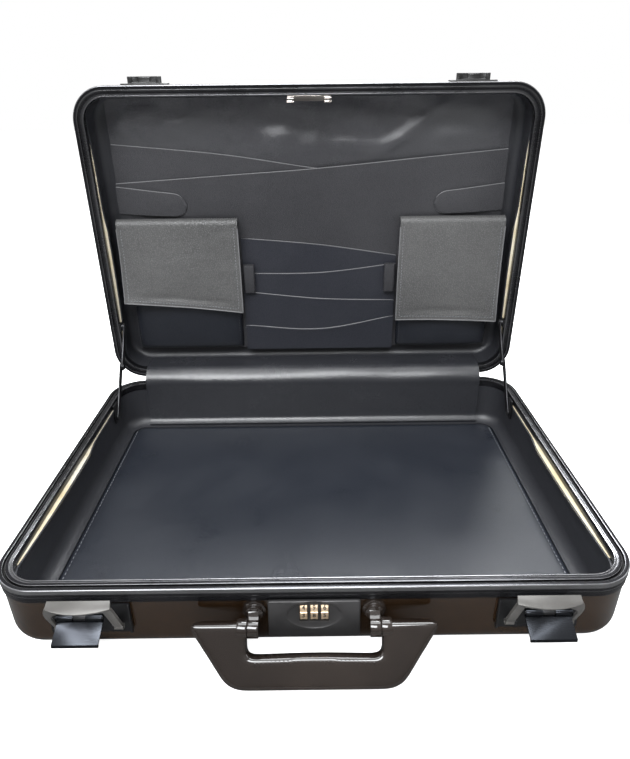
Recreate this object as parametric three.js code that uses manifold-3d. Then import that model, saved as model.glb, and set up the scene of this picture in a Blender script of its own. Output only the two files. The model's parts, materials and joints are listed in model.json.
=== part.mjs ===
import * as THREE from 'three';
import { mergeVertices } from 'three/addons/utils/BufferGeometryUtils.js';
import Module from 'manifold-3d';

const wasm = await Module();
wasm.setup();

// ---------------------------------------------------------------- driving dimensions (mm)
// X runs along the front, Y from the front to the hinge, Z up. The origin is the middle of the
// base shell's flat bottom. Depths are measured from a rim plane into its own half.

// case
const caseWidth = 450;
const caseDepth = 310;
const baseHeight = 58;
const lidHeight = 38;
const cornerRadius = 33;
const edgeRadius = 16;
const shellWall = 1.5;
const wallDraft = 1.5;
const openAngle = 87.2;
const rimGap = 0.6;
const clearance = 0.3;

// rim extrusion, distances inwards from the outer face
const skirtStep = 0.5;
const skirtTop = 6;
const skirtDepth = 11;
const slotStart = 1.1;
const slotEnd = 3.2;
const slotTop = 4;
const legEnd = 4.6;
const legDepth = 8;
const webDepth = 5;
const sealStart = 3.3;
const sealEnd = 5.1;
const sealDepth = 3;
const trimStart = 7.7;
const trimEnd = 9;
const trimDepth = 1.2;
const rimWidth = 10;
const lipDepth = 7;
const tongueHeight = 1.3;
const gasketHeight = 1.1;

// lining
const liningThick = 1.6;
const liningInset = 8;
const liningTop = 7.6;
const baseLiningRadius = 12;
const lidLiningRadius = 8.5;
const floorBoardThick = 3.4;
const boardThick = 2;
const boardHeight = 28;
const padThick = 2.6;

// hinge along the back
const hingeOffset = 2.6;
const hingeEndMargin = 12;
const knuckleCount = 9;
const knuckleRadius = 2.2;
const hingePinRadius = 1;
const leafThick = 1;
const leafHeight = 9;
const coverEndMargin = 2;
const coverHeight = 22;
const coverThick = 1.4;

// lid stays
const stayThick = 1.5;
const stayWidth = 7;
const stayPinRadius = 1.8;
const stayFootBack = 52;
const stayFootDepth = 18;
const stayHeadReach = 65;
const stayHeadDepth = 4.2;
const elbowShare = 0.548;
const footPlateThick = 1.6;

// combination lock
const lockWidth = 63;
const lockHeight = 32;
const lockTopDepth = 9.5;
const lockThick = 2.9;
const dialCount = 3;
const dialWidth = 4.9;
const dialPitch = 7.2;
const dialRadius = 9.2;
const dialDepth = 21.4;
const dialStandOut = 0.6;
const dialSideGap = 0.4;
const spindleRadius = 1.8;
const dimpleWidth = 38;
const dimpleHeight = 25;
const dimpleDepth = 2;
const caseTopDepth = 11.3;
const caseBottomDepth = 40;
const caseBack = 17;
const channelDepth = 6.2;
const boltTravel = 4;

// striker on the lid
const strikerWidth = 41;
const strikerLegWidth = 6.5;
const strikerLegThick = 4;
const strikerBack = 11.5;
const strikerReach = 16.5;

// handle
const handleSpan = 168;
const handleWindow = 90;
const gripSpan = 112;
const gripInner = 17;
const gripOuter = 37;
const handleThick = 12;
const handleEdge = 3;
const handlePivotOut = 12.6;
const handlePivotDepth = 24;
const hubRadius = 6.5;
const hubLength = 7;
const wingRise = 4.5;
const handlePinRadius = 2;
const tableClearance = 0.8;
const postRadius = 8;
const postWidth = 7;

// draw latches
const latchFromSide = 72;
const latchPlateWidth = 56;
const latchPlateTop = 12;
const latchPlateHeight = 25;
const latchPlateThick = 1.6;
const framePivotOut = 5;
const framePivotDepth = 28;
const frameHalf = 23;
const frameRise = 36.5;
const frameThick = 2;
const flangeInner = 4.4;
const flangeBow = 6.4;
const frameOpenTilt = 24;
const leverCentre = 5;
const leverWidth = 31;
const leverLength = 17.5;
const leverThick = 1.4;
const leverPivotOut = 6.4;
const leverPivotDepth = 18.5;
const leverRoll = 2.5;
const leverPinRadius = 1;
const leverOpenTurn = 113;
const leverLugWidth = 8;
const strikeWidth = 45;
const strikeBlockWidth = 31;
const strikeOut = 3;
const strikeBlockOut = 4;
const strikeBlockLow = 1.6;

// organiser in the lid, distances from the hinge line
const organiserStart = 25;
const organiserInset = 22;
const pocketThick = 1.7;
const strapThick = 2;
const pouchWidths = { left: 123, right: 106 };
const pouchThick = 12;
const pouchTop = 178;
const flapThick = 2.4;
const flapDrops = { left: 104, right: 115 };
const flapOverhang = 3;
const cardStep = 1.4;
const penLoopWidth = 12;
const penLoopThick = 5;
const penLoopWall = 1;

// organiser edges, as distances from the hinge line in a case of the drawn depth
const drawnDepth = 310;
const pocketKinkX = 9;
const rearPocketEdge = { right: 206, kink: 229, left: 256 };
const frontPocketEdge = { right: 247, kink: 230, left: 217 };
const strapEdge = { low: 187.5, high: 214, tip: 195 };
const strapLength = 71.5;
const strapTipRadius = 7.5;
const penLoopEdge = { low: 98, high: 130 };
const cardPocketEdges = [
  { left: 158, right: 137 }, { left: 118, right: 126 }, { left: 88, right: 84 }, { left: 50, right: 62 },
];

const cornerSteps = 6;
const rimZ = baseHeight;
const hingeY = caseDepth / 2 + hingeOffset;
const hingeZ = rimZ + rimGap / 2;
const radians = THREE.MathUtils.degToRad;

// ---------------------------------------------------------------- geometry helpers

function clean(geometry) {
  const bare = geometry.index ? geometry.clone() : geometry;
  bare.deleteAttribute('normal');
  bare.deleteAttribute('uv');
  return mergeVertices(bare, 1e-4);
}

function toSolid(geometry) {
  const merged = clean(geometry);
  const mesh = new wasm.Mesh({
    numProp: 3,
    vertProperties: new Float32Array(merged.attributes.position.array),
    triVerts: new Uint32Array(merged.index.array),
  });
  mesh.merge();
  return new wasm.Manifold(mesh);
}

function toGeometry(solid) {
  const mesh = solid.getMesh();
  const geometry = new THREE.BufferGeometry();
  geometry.setAttribute('position', new THREE.BufferAttribute(new Float32Array(mesh.vertProperties), 3));
  geometry.setIndex(new THREE.BufferAttribute(new Uint32Array(mesh.triVerts), 1));
  return geometry;
}

function join(...pieces) {
  return toGeometry(pieces.map(toSolid).reduce((whole, piece) => whole.add(piece)));
}

function cut(piece, ...tools) {
  return toGeometry(tools.map(toSolid).reduce((whole, tool) => whole.subtract(tool), toSolid(piece)));
}

function mirrored(geometry) {
  const twin = clean(geometry);
  twin.scale(-1, 1, 1);
  const index = Array.from(twin.index.array);
  for (let i = 0; i < index.length; i += 3) {
    [index[i], index[i + 1]] = [index[i + 1], index[i]];
  }
  twin.setIndex(index);
  return twin;
}

function box(x0, x1, y0, y1, z0, z1) {
  const geometry = new THREE.BoxGeometry(x1 - x0, y1 - y0, z1 - z0);
  return geometry.translate((x0 + x1) / 2, (y0 + y1) / 2, (z0 + z1) / 2);
}

function rodX(x0, x1, y, z, radius, sides = 20) {
  const geometry = new THREE.CylinderGeometry(radius, radius, x1 - x0, sides);
  return geometry.rotateZ(-Math.PI / 2).translate((x0 + x1) / 2, y, z);
}

function rodY(y0, y1, x, z, radius, sides = 24) {
  return new THREE.CylinderGeometry(radius, radius, y1 - y0, sides).translate(x, (y0 + y1) / 2, z);
}

function shapeOf(points) {
  return new THREE.Shape(points.map(([u, v]) => new THREE.Vector2(u, v)));
}

function extruded(shape, length, options = {}) {
  const settings = { depth: length, bevelEnabled: false, curveSegments: 6, ...options };
  return new THREE.ExtrudeGeometry(shape, settings);
}

// a (y, z) outline run along X
function prismX(shape, x0, x1) {
  const turn = new THREE.Matrix4().makeBasis(
    new THREE.Vector3(0, 1, 0), new THREE.Vector3(0, 0, 1), new THREE.Vector3(1, 0, 0));
  return extruded(shape, x1 - x0).applyMatrix4(turn).translate(x0, 0, 0);
}

// an (x, z) outline run along Y
function prismY(shape, y0, y1) {
  return extruded(shape, y1 - y0).rotateX(Math.PI / 2).translate(0, y1, 0);
}

// an (x, y) outline run along Z
function prismZ(shape, z0, z1) {
  return extruded(shape, z1 - z0).translate(0, 0, z0);
}

function roundedRect(x0, x1, v0, v1, radius) {
  const shape = new THREE.Shape();
  shape.absarc(x1 - radius, v0 + radius, radius, -Math.PI / 2, 0);
  shape.absarc(x1 - radius, v1 - radius, radius, 0, Math.PI / 2);
  shape.absarc(x0 + radius, v1 - radius, radius, Math.PI / 2, Math.PI);
  shape.absarc(x0 + radius, v0 + radius, radius, Math.PI, Math.PI * 1.5);
  return shape;
}

// the case outline, moved inwards by inset
function outlineAt(inset) {
  const radius = Math.max(cornerRadius - inset, 2);
  const cx = caseWidth / 2 - inset - radius;
  const cy = caseDepth / 2 - inset - radius;
  const points = [];
  for (const [sx, sy, start] of [[1, -1, -90], [1, 1, 0], [-1, 1, 90], [-1, -1, 180]]) {
    for (let step = 0; step <= cornerSteps; step++) {
      const angle = radians(start + (90 * step) / cornerSteps);
      points.push([sx * cx + radius * Math.cos(angle), sy * cy + radius * Math.sin(angle)]);
    }
  }
  return points;
}

// rings of the case outline at each [inset, z], joined in order; a ring closes on itself, a
// tray is closed with flat caps at its first and last outline
function outlineSolid(profile, isRing) {
  const rings = profile.map(([inset, z]) => outlineAt(inset).map(([x, y]) => [x, y, z]));
  const count = rings[0].length;
  const positions = rings.flat(2);
  const index = [];
  const links = isRing ? rings.length : rings.length - 1;
  for (let ring = 0; ring < links; ring++) {
    const next = (ring + 1) % rings.length;
    for (let i = 0; i < count; i++) {
      const j = (i + 1) % count;
      const [a, b, c, d] = [ring * count + i, ring * count + j, next * count + i, next * count + j];
      index.push(a, b, c, b, d, c);
    }
  }
  if (!isRing) {
    const last = (rings.length - 1) * count;
    positions.push(0, 0, profile[0][1], 0, 0, profile[profile.length - 1][1]);
    for (let i = 0; i < count; i++) {
      const j = (i + 1) % count;
      index.push(rings.length * count, j, i);
      index.push(rings.length * count + 1, last + i, last + j);
    }
  }
  const geometry = new THREE.BufferGeometry();
  geometry.setAttribute('position', new THREE.Float32BufferAttribute(positions, 3));
  geometry.setIndex(index);
  return facingOut(geometry);
}

function facingOut(geometry) {
  const p = geometry.attributes.position;
  const index = Array.from(geometry.index.array);
  const [a, b, c] = [new THREE.Vector3(), new THREE.Vector3(), new THREE.Vector3()];
  let volume = 0;
  for (let i = 0; i < index.length; i += 3) {
    a.fromBufferAttribute(p, index[i]);
    b.fromBufferAttribute(p, index[i + 1]);
    c.fromBufferAttribute(p, index[i + 2]);
    volume += a.dot(b.cross(c));
  }
  if (volume < 0) {
    for (let i = 0; i < index.length; i += 3) {
      [index[i], index[i + 1]] = [index[i + 1], index[i]];
    }
    geometry.setIndex(index);
  }
  return geometry;
}

function addPart(group, name, geometry, colour, roughness, metalness) {
  const material = new THREE.MeshStandardMaterial({ color: colour, roughness, metalness });
  const mesh = new THREE.Mesh(geometry, material);
  mesh.name = name;
  group.add(mesh);
}

// each half is described by depth from its rim plane: half.z(depth) is the height of that depth
const baseHalf = { height: baseHeight, z: (depth) => rimZ - depth };
const lidHalf = { height: lidHeight, z: (depth) => rimGap / 2 + depth };

const shellInset = slotStart + clearance;

function wallInset(depth) {
  return shellInset + Math.tan(radians(wallDraft)) * Math.max(depth - skirtDepth, 0);
}

// distance of the front wall's outer face from the middle of the case at a depth
function frontFace(depth) {
  return caseDepth / 2 - wallInset(depth);
}

// ---------------------------------------------------------------- shells and rims

function shell(half) {
  const arcTop = half.height - edgeRadius;
  const arcInset = wallInset(arcTop) + edgeRadius;
  const steps = 6;
  const outer = [[shellInset, slotTop + clearance], [shellInset, skirtDepth]];
  const inner = [[shellInset + shellWall, slotTop + clearance], [shellInset + shellWall, skirtDepth]];
  for (let step = 0; step <= steps; step++) {
    const angle = radians((90 * step) / steps);
    outer.push([arcInset - edgeRadius * Math.cos(angle), arcTop + edgeRadius * Math.sin(angle)]);
    const innerRadius = edgeRadius - shellWall;
    inner.push([arcInset - innerRadius * Math.cos(angle), arcTop + innerRadius * Math.sin(angle)]);
  }
  const profile = [...outer.reverse(), ...inner];
  return outlineSolid(profile.map(([inset, depth]) => [inset, half.z(depth)]), false);
}

function rim(half, sealProfile) {
  const profile = [
    [0.6, 0], [0, 0.6], [0, skirtTop], [skirtStep, skirtTop + skirtStep], [skirtStep, skirtDepth],
    [slotStart, skirtDepth], [slotStart, slotTop], [slotEnd, slotTop], [slotEnd, legDepth],
    [legEnd, legDepth], [legEnd, webDepth], [trimEnd, webDepth], [trimEnd, lipDepth], [rimWidth, lipDepth],
    [rimWidth, 0.3], [rimWidth - 0.3, 0], [trimEnd, 0], [trimEnd, trimDepth], [trimStart, trimDepth],
    [trimStart, 0], ...sealProfile,
  ];
  return outlineSolid(profile.map(([inset, depth]) => [inset, half.z(depth)]), true);
}

function sealGroove() {
  return [[sealEnd, 0], [sealEnd, sealDepth], [sealStart, sealDepth], [sealStart, 0]];
}

function sealTongue() {
  const middle = (sealStart + sealEnd) / 2;
  const half = (sealEnd - sealStart) / 4;
  return [
    [sealEnd, 0], [sealEnd, trimDepth], [middle + half, trimDepth], [middle + half, -tongueHeight],
    [middle - half, -tongueHeight], [middle - half, trimDepth], [sealStart, trimDepth], [sealStart, 0],
  ];
}

function gasket() {
  const [inner, outer] = [sealEnd - clearance, sealStart + clearance];
  const bottom = sealDepth - clearance;
  const crown = bottom - gasketHeight;
  const shoulder = crown + 0.4;
  const profile = [
    [outer, bottom], [inner, bottom], [inner, shoulder], [(inner + outer) / 2, crown], [outer, shoulder],
  ];
  return outlineSolid(profile.map(([inset, depth]) => [inset, baseHalf.z(depth)]), true);
}

// ---------------------------------------------------------------- linings and boards

function liningFloor(half) {
  const under = half === baseHalf ? floorBoardThick + clearance : 0;
  return half.height - shellWall - clearance - under;
}

function liningRadius(half) {
  return half === baseHalf ? baseLiningRadius : lidLiningRadius;
}

function floorThick(half) {
  return half === baseHalf ? liningThick : padThick;
}

// the base has walls only, around a floor panel; the lid's lining is a whole tray
function lining(half) {
  const bottom = liningFloor(half);
  const thick = floorThick(half);
  const radius = liningRadius(half);
  const arcTop = bottom - radius;
  const arcInset = liningInset + radius;
  const steps = 5;
  const outer = [[liningInset, liningTop]];
  const inner = [[liningInset + liningThick, liningTop]];
  for (let step = 0; step <= steps; step++) {
    const angle = radians((90 * step) / steps);
    outer.push([arcInset - radius * Math.cos(angle), arcTop + radius * Math.sin(angle)]);
    inner.push([
      arcInset - (radius - liningThick) * Math.cos(angle),
      arcTop + (radius - thick) * Math.sin(angle),
    ]);
  }
  const profile = [...outer.reverse(), ...inner];
  return outlineSolid(profile.map(([inset, depth]) => [inset, half.z(depth)]), half === baseHalf);
}

function baseLining() {
  const back = -frontFace(lockTopDepth) + shellWall + caseBack + 3 * clearance;
  const opening = box(
    -lockCaseLeft() - clearance, lockCaseRight() + clearance, -caseDepth / 2, back,
    rimZ - caseBottomDepth - clearance, rimZ - liningTop + 1);
  return cut(lining(baseHalf), opening);
}

// a stiff board wrapped in leather, inside the foot of the walls
function baseFloorPanel() {
  const outline = shapeOf(outlineAt(liningInset + baseLiningRadius + clearance));
  return prismZ(outline, shellWall + clearance, baseHalf.z(liningFloor(baseHalf)) + liningThick);
}

// stiff board standing behind the lining along one side
function sideBoard(half) {
  const outer = caseWidth / 2 - legEnd - 2 * clearance;
  const length = caseDepth / 2 - cornerRadius;
  const [low, high] = [half.z(legDepth + clearance), half.z(sideBoardDepth(half))].sort((a, b) => a - b);
  return box(outer - boardThick, outer, -length, length, low, high);
}

function sideBoardDepth(half) {
  return Math.min(legDepth + boardHeight, half.height - edgeRadius);
}

// ---------------------------------------------------------------- hinge along the back

function hingeHalfLength() {
  return caseWidth / 2 - cornerRadius - hingeEndMargin;
}

// one leaf about an axis at the origin: its plate hangs below, on the -Y side
function hingeLeaf(isLid) {
  const half = hingeHalfLength();
  const pitch = (2 * half) / knuckleCount;
  const plateBack = -hingeOffset + clearance;
  const side = isLid ? 1 : -1;
  const span = (from, to) => [side * from, side * to].sort((a, b) => a - b);
  const [low, high] = span(knuckleRadius + clearance, leafHeight);
  const pieces = [box(-half, half, plateBack, plateBack + leafThick, low, high)];
  const bores = [];
  for (let i = isLid ? 1 : 0; i < knuckleCount; i += 2) {
    const x0 = -half + i * pitch + clearance / 2;
    const x1 = x0 + pitch - clearance;
    const [tabLow, tabHigh] = span(0, knuckleRadius + 1);
    pieces.push(rodX(x0, x1, 0, 0, knuckleRadius, 16));
    pieces.push(box(x0, x1, plateBack, plateBack + leafThick, tabLow, tabHigh));
  }
  bores.push(rodX(-half - 1, half + 1, 0, 0, hingePinRadius + clearance, 16));
  return cut(join(...pieces), ...bores);
}

function hingePin() {
  const half = hingeHalfLength();
  return rodX(-half, half, hingeY, hingeZ, hingePinRadius, 16);
}

// leather flap over the hinge gap, one leg on each half
function hingeCover(half) {
  const face = caseDepth / 2 - rimWidth;
  const [low, high] = [half.z(1.5), half.z(1.5 + coverHeight)].sort((a, b) => a - b);
  const front = face - clearance - coverThick;
  const halfLength = caseWidth / 2 - cornerRadius - coverEndMargin;
  return box(-halfLength, halfLength, front, front + coverThick, low, high);
}

// ---------------------------------------------------------------- lid stays

const stayLayer = caseWidth / 2 - rimWidth;
const stayOuterX = stayLayer - 2 * clearance - footPlateThick;
const lowerLayer = [stayOuterX - clearance - stayThick, stayOuterX - clearance];
const upperLayer = [lowerLayer[0] - clearance - stayThick, lowerLayer[0] - clearance];
const footY = caseDepth / 2 - stayFootBack;
const footZ = rimZ - stayFootDepth;

// where the lid's stay pivot stands with the lid open
function openHead() {
  const angle = radians(openAngle);
  const [y, z] = [-stayHeadReach, stayHeadDepth];
  return [
    hingeY + y * Math.cos(angle) + z * Math.sin(angle),
    hingeZ - y * Math.sin(angle) + z * Math.cos(angle),
  ];
}

function openElbow() {
  const [headY, headZ] = openHead();
  return [footY + (headY - footY) * elbowShare, footZ + (headZ - footZ) * elbowShare];
}

function stayArm(from, to, layer, endRadius) {
  const length = Math.hypot(to[0] - from[0], to[1] - from[1]);
  const angle = Math.atan2(to[1] - from[1], to[0] - from[0]);
  const half = stayWidth / 2;
  const bar = prismX(shapeOf([[0, -half], [length, -half], [length, half], [0, half]]), ...layer);
  bar.rotateX(angle).translate(0, from[0], from[1]);
  return join(
    bar, rodX(...layer, ...from, endRadius, 20), rodX(...layer, ...to, endRadius, 20));
}

function stayLower() {
  const arm = stayArm([footY, footZ], openElbow(), lowerLayer, stayWidth / 2 + 0.6);
  return cut(arm, rodX(lowerLayer[0] - 1, lowerLayer[1] + 1, footY, footZ, stayPinRadius + clearance));
}

function stayUpper() {
  const arm = stayArm(openElbow(), openHead(), upperLayer, stayWidth / 2 + 0.6);
  const [elbowY, elbowZ] = openElbow();
  const disc = rodX(upperLayer[0] - 1.2, upperLayer[0] + 0.2, elbowY, elbowZ, stayWidth / 2, 20);
  const bore = rodX(upperLayer[0] - 1, upperLayer[1] + 1, ...openHead(), stayPinRadius + clearance);
  return cut(join(arm, disc), bore);
}

function stayFoot() {
  const half = stayWidth / 2 + 2;
  const plate = box(
    stayOuterX, stayOuterX + footPlateThick, footY - half, footY + half, footZ - half, rimZ - 2);
  return join(plate, rodX(lowerLayer[0] + 0.2, stayOuterX + 0.5, footY, footZ, stayPinRadius));
}

// in the lid's own frame
function stayHead() {
  const half = stayWidth / 2 + 1;
  const [y, z] = [-stayHeadReach, stayHeadDepth];
  const top = lidHalf.z(lidHeight / 2 - 2);
  const plate = box(stayOuterX, stayOuterX + footPlateThick, y - half, y + half, z - half, top);
  const boss = rodX(upperLayer[1] + clearance, stayOuterX + 0.5, y, z, stayWidth / 2);
  const stud = rodX(upperLayer[0] + 0.2, stayOuterX, y, z, stayPinRadius);
  return join(plate, boss, stud);
}

// ---------------------------------------------------------------- combination lock

const lockFace = caseDepth / 2 - skirtStep + clearance;
const lockFront = -(lockFace + lockThick);
const dialY = lockFront - dialStandOut + dialRadius;
const dialZ = rimZ - dialDepth;
const innerFace = -(frontFace(lockTopDepth) - shellWall);
const caseFrontY = -(frontFace(caseBottomDepth) - shellWall) + clearance;
const caseBackY = innerFace + caseBack;
const channelZ = rimZ - caseTopDepth - channelDepth;
const legOuter = strikerWidth / 2;
const legInner = legOuter - strikerLegWidth;
const strikerY = -caseDepth / 2 + strikerBack;
const boltArm = 2;
const boltNose = 1.2;
const springLength = 8.5;

function lockCaseRight() {
  return legOuter + boltTravel + 4;
}

function lockCaseLeft() {
  return legOuter + clearance + boltNose + boltArm + springLength + 2;
}

function dialX(i) {
  return (i - (dialCount - 1) / 2) * dialPitch;
}

function lockPlate() {
  const bevel = 0.8;
  const [x, top] = [lockWidth / 2 - bevel, rimZ - lockTopDepth - bevel];
  const outline = roundedRect(-x, x, top - lockHeight + 2 * bevel, top, 0.8);
  const slab = extruded(outline, lockThick - 2 * bevel, {
    bevelEnabled: true, bevelThickness: bevel, bevelSize: bevel, bevelSegments: 2, curveSegments: 3,
  });
  slab.rotateX(Math.PI / 2).translate(0, -lockFace - bevel, 0);
  const dimple = new THREE.SphereGeometry(1, 28, 14);
  dimple.scale(dimpleWidth / 2, dimpleDepth, dimpleHeight / 2).translate(0, lockFront, dialZ);
  const slots = [];
  for (let i = 0; i < dialCount; i++) {
    const half = dialWidth / 2 + dialSideGap;
    const tall = Math.sqrt(dialRadius ** 2 - (dialY + lockFace) ** 2) + dialSideGap;
    const x = dialX(i);
    slots.push(box(x - half, x + half, lockFront - 1, -lockFace + 1, dialZ - tall, dialZ + tall));
  }
  return cut(slab, dimple, ...slots);
}

// a window in the front wall behind the lock plate
function lockWindow() {
  const half = (dialCount * dialPitch) / 2 + 1;
  const tall = dialRadius + 1;
  return box(-half, half, -caseDepth / 2, innerFace + 2, dialZ - tall, dialZ + tall);
}

function lockCase() {
  const body = box(
    -lockCaseLeft(), lockCaseRight(), caseFrontY, caseBackY, rimZ - caseBottomDepth, rimZ - caseTopDepth);
  const channel = box(
    -lockCaseLeft() + 1.5, lockCaseRight() - 1.5, strikerY - 2 * clearance, caseBackY - 1.2,
    channelZ, rimZ - caseTopDepth + 1);
  const half = (dialCount * dialPitch) / 2 + clearance;
  const chamber = box(
    -half, half, caseFrontY - 1, dialY + dialRadius + clearance,
    dialZ - dialRadius - clearance, dialZ + dialRadius + clearance);
  const bore = rodX(-half - 1.5, half + 1.5, dialY, dialZ, spindleRadius + clearance);
  return cut(body, channel, chamber, bore);
}

function lockSpindle() {
  const half = (dialCount * dialPitch) / 2 + 1.2;
  return rodX(-half, half, dialY, dialZ, spindleRadius);
}

// a number wheel with ten thumb notches between its flats
function dial(i) {
  const notches = 10;
  const outline = [];
  for (let n = 0; n < notches; n++) {
    for (const [turn, radius] of [[-14, 1], [0, 1.0], [14, 1], [18, 0.94]]) {
      const angle = radians((360 / notches) * n + turn);
      outline.push([radius * dialRadius * Math.cos(angle), radius * dialRadius * Math.sin(angle)]);
    }
  }
  const x0 = dialX(i) - dialWidth / 2;
  const wheel = prismX(shapeOf(outline), x0, x0 + dialWidth).translate(0, dialY, dialZ);
  return cut(wheel, rodX(x0 - 1, x0 + dialWidth + 1, dialY, dialZ, spindleRadius + clearance));
}

// a bar behind the striker's legs with two fingers that slide into them
function lockBolt() {
  const legBack = strikerY + strikerLegThick;
  const barY = legBack + 2 * clearance;
  const [low, high] = [channelZ + clearance, channelZ + clearance + 3.2];
  const left = -legOuter - clearance - boltNose;
  const right = legInner - clearance - boltNose;
  const fingerY = strikerY + strikerLegThick / 2;
  const middle = (low + high) / 2;
  return join(
    box(left - boltArm, right, barY, barY + 1.8, low, high),
    box(left - boltArm, left, fingerY - 1, barY + 0.5, low, high),
    box(right - boltArm, right, fingerY - 1, barY + 0.5, low, high),
    rodX(left - 0.5, left + boltNose, fingerY, middle, 1, 12),
    rodX(right - 0.5, right + boltNose, fingerY, middle, 1, 12));
}

function boltSpring() {
  const [coil, wire, turns] = [1.5, 0.35, 4];
  const start = -legOuter - clearance - boltNose - boltArm - clearance - wire;
  const y = strikerY + strikerLegThick / 2;
  const z = channelZ + 2 * clearance + coil + wire;
  class Helix extends THREE.Curve {
    getPoint(t, target = new THREE.Vector3()) {
      const angle = t * turns * 2 * Math.PI;
      const x = start - t * (springLength - 1.5);
      return target.set(x, y + coil * Math.cos(angle), z + coil * Math.sin(angle));
    }
  }
  const sides = 5;
  const section = [];
  for (let i = 0; i < sides; i++) {
    const angle = (2 * Math.PI * i) / sides;
    section.push([wire * Math.cos(angle), wire * Math.sin(angle)]);
  }
  return extruded(shapeOf(section), 1, { extrudePath: new Helix(), steps: turns * 9 });
}

// in the lid's own frame: a plate inside the lip and two bored legs that reach into the base
function striker() {
  const y = strikerY - hingeY;
  const lip = -caseDepth / 2 + rimWidth - hingeY + clearance;
  const [low, high] = [-strikerReach + rimGap, lidHalf.z(lipDepth - 1)];
  const pieces = [box(-legOuter, legOuter, lip, y + strikerLegThick, lidHalf.z(0.6), high)];
  const bores = [];
  const fingerZ = channelZ + clearance + 1.6 - hingeZ;
  for (const side of [-1, 1]) {
    const [x0, x1] = [side * legInner, side * legOuter].sort((a, b) => a - b);
    pieces.push(box(x0, x1, y, y + strikerLegThick, low, high));
    bores.push(rodX(x0 - 1, x1 + 1, y + strikerLegThick / 2, fingerZ, 1.3, 16));
  }
  return cut(join(...pieces), ...bores);
}

// ---------------------------------------------------------------- handle

const pivotY = -(frontFace(handlePivotDepth) + handlePivotOut);
const pivotZ = rimZ - handlePivotDepth;

// the hanging angle below level at which the grip just clears the surface under the case
function handleDroop() {
  const [along, across] = [gripOuter - handleEdge, handleThick / 2 - handleEdge];
  const drop = pivotZ - tableClearance - handleEdge;
  return Math.asin(Math.min(drop / Math.hypot(along, across), 1)) - Math.atan2(across, along);
}

// drawn flat: x across, v away from the pivot line
function handleOutline(grow) {
  const [wing, inner] = [handleSpan / 2 - grow, handleWindow / 2 + grow];
  const [outer, low, top] = [gripOuter - grow, gripInner + grow, -wingRise + grow];
  const grip = gripSpan / 2 - grow;
  const shape = new THREE.Shape();
  shape.moveTo(inner, top);
  shape.lineTo(wing - 3, top);
  shape.quadraticCurveTo(wing, top, wing - 1.5, top + 4);
  shape.lineTo(grip + 6, outer - 8);
  shape.quadraticCurveTo(grip + 1, outer, grip - 12, outer);
  shape.lineTo(-grip + 12, outer);
  shape.quadraticCurveTo(-grip - 1, outer, -grip - 6, outer - 8);
  shape.lineTo(-wing + 1.5, top + 4);
  shape.quadraticCurveTo(-wing, top, -wing + 3, top);
  shape.lineTo(-inner, top);
  shape.lineTo(-inner, low - 4);
  shape.quadraticCurveTo(-inner, low, -inner + 4, low);
  shape.lineTo(inner - 4, low);
  shape.quadraticCurveTo(inner, low, inner, low - 4);
  return shape;
}

// about the pivot line, hanging straight down before it is turned
function handle() {
  const body = extruded(handleOutline(handleEdge), handleThick - 2 * handleEdge, {
    bevelEnabled: true, bevelThickness: handleEdge, bevelSize: handleEdge, bevelSegments: 3, curveSegments: 5,
  });
  body.translate(0, 0, -(handleThick - 2 * handleEdge) / 2).rotateX(-Math.PI / 2);
  const pieces = [body];
  const bores = [];
  for (const side of [-1, 1]) {
    const inner = handleWindow / 2 - clearance;
    const [x0, x1] = [side * inner, side * (inner + hubLength)].sort((a, b) => a - b);
    pieces.push(rodX(x0, x1, 0, 0, hubRadius, 24));
    bores.push(rodX(x0 - 1, x1 + 0.5, 0, 0, handlePinRadius + clearance, 16));
  }
  return cut(join(...pieces), ...bores);
}

function postX() {
  const outer = handleWindow / 2 - 2 * clearance;
  return [outer - postWidth, outer];
}

function handlePost() {
  const [x0, x1] = postX();
  const middle = (x0 + x1) / 2;
  const wall = -(frontFace(handlePivotDepth - postRadius) + clearance);
  const rise = handlePivotDepth - 5;
  const flange = rodY(wall - 2.2, wall, middle, rimZ - rise, postRadius, 28);
  const collar = rodY(wall - 5, wall - 1, middle, rimZ - rise, postRadius - 1.8, 28);
  const neckOutline = [
    [wall - 1, pivotZ - 3.5], [wall - 1, rimZ - rise + 4], [pivotY, pivotZ + 5], [pivotY, pivotZ - 5],
  ];
  const neck = prismX(shapeOf(neckOutline), x0, x1);
  const barrel = rodX(x0, x1, pivotY, pivotZ, hubRadius - 0.5, 24);
  const bore = rodX(x0 + 1.5, x1 + 1, pivotY, pivotZ, handlePinRadius + clearance, 16);
  return cut(join(flange, collar, neck, barrel), bore);
}

function handlePin() {
  const [x0] = postX();
  return rodX(x0 + 1.8, handleWindow / 2 + hubLength - 1, pivotY, pivotZ, handlePinRadius, 16);
}

// ---------------------------------------------------------------- draw latches (right-hand one)

const latchX = caseWidth / 2 - latchFromSide;
const latchWall = frontFace(framePivotDepth - 4) + clearance + 0.5;
const framePivot = [-(latchWall + framePivotOut), rimZ - framePivotDepth];
const leverPivot = [-(latchWall + leverPivotOut), rimZ - leverPivotDepth];
const leverX = latchX + leverCentre;
const leverEnds = [leverX - leverWidth / 2, leverX + leverWidth / 2];
const cheekInner = [latchX - frameHalf, latchX - frameHalf + 6];
const cheekOuter = [leverEnds[1] + clearance, latchX + frameHalf + 0.6];

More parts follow.
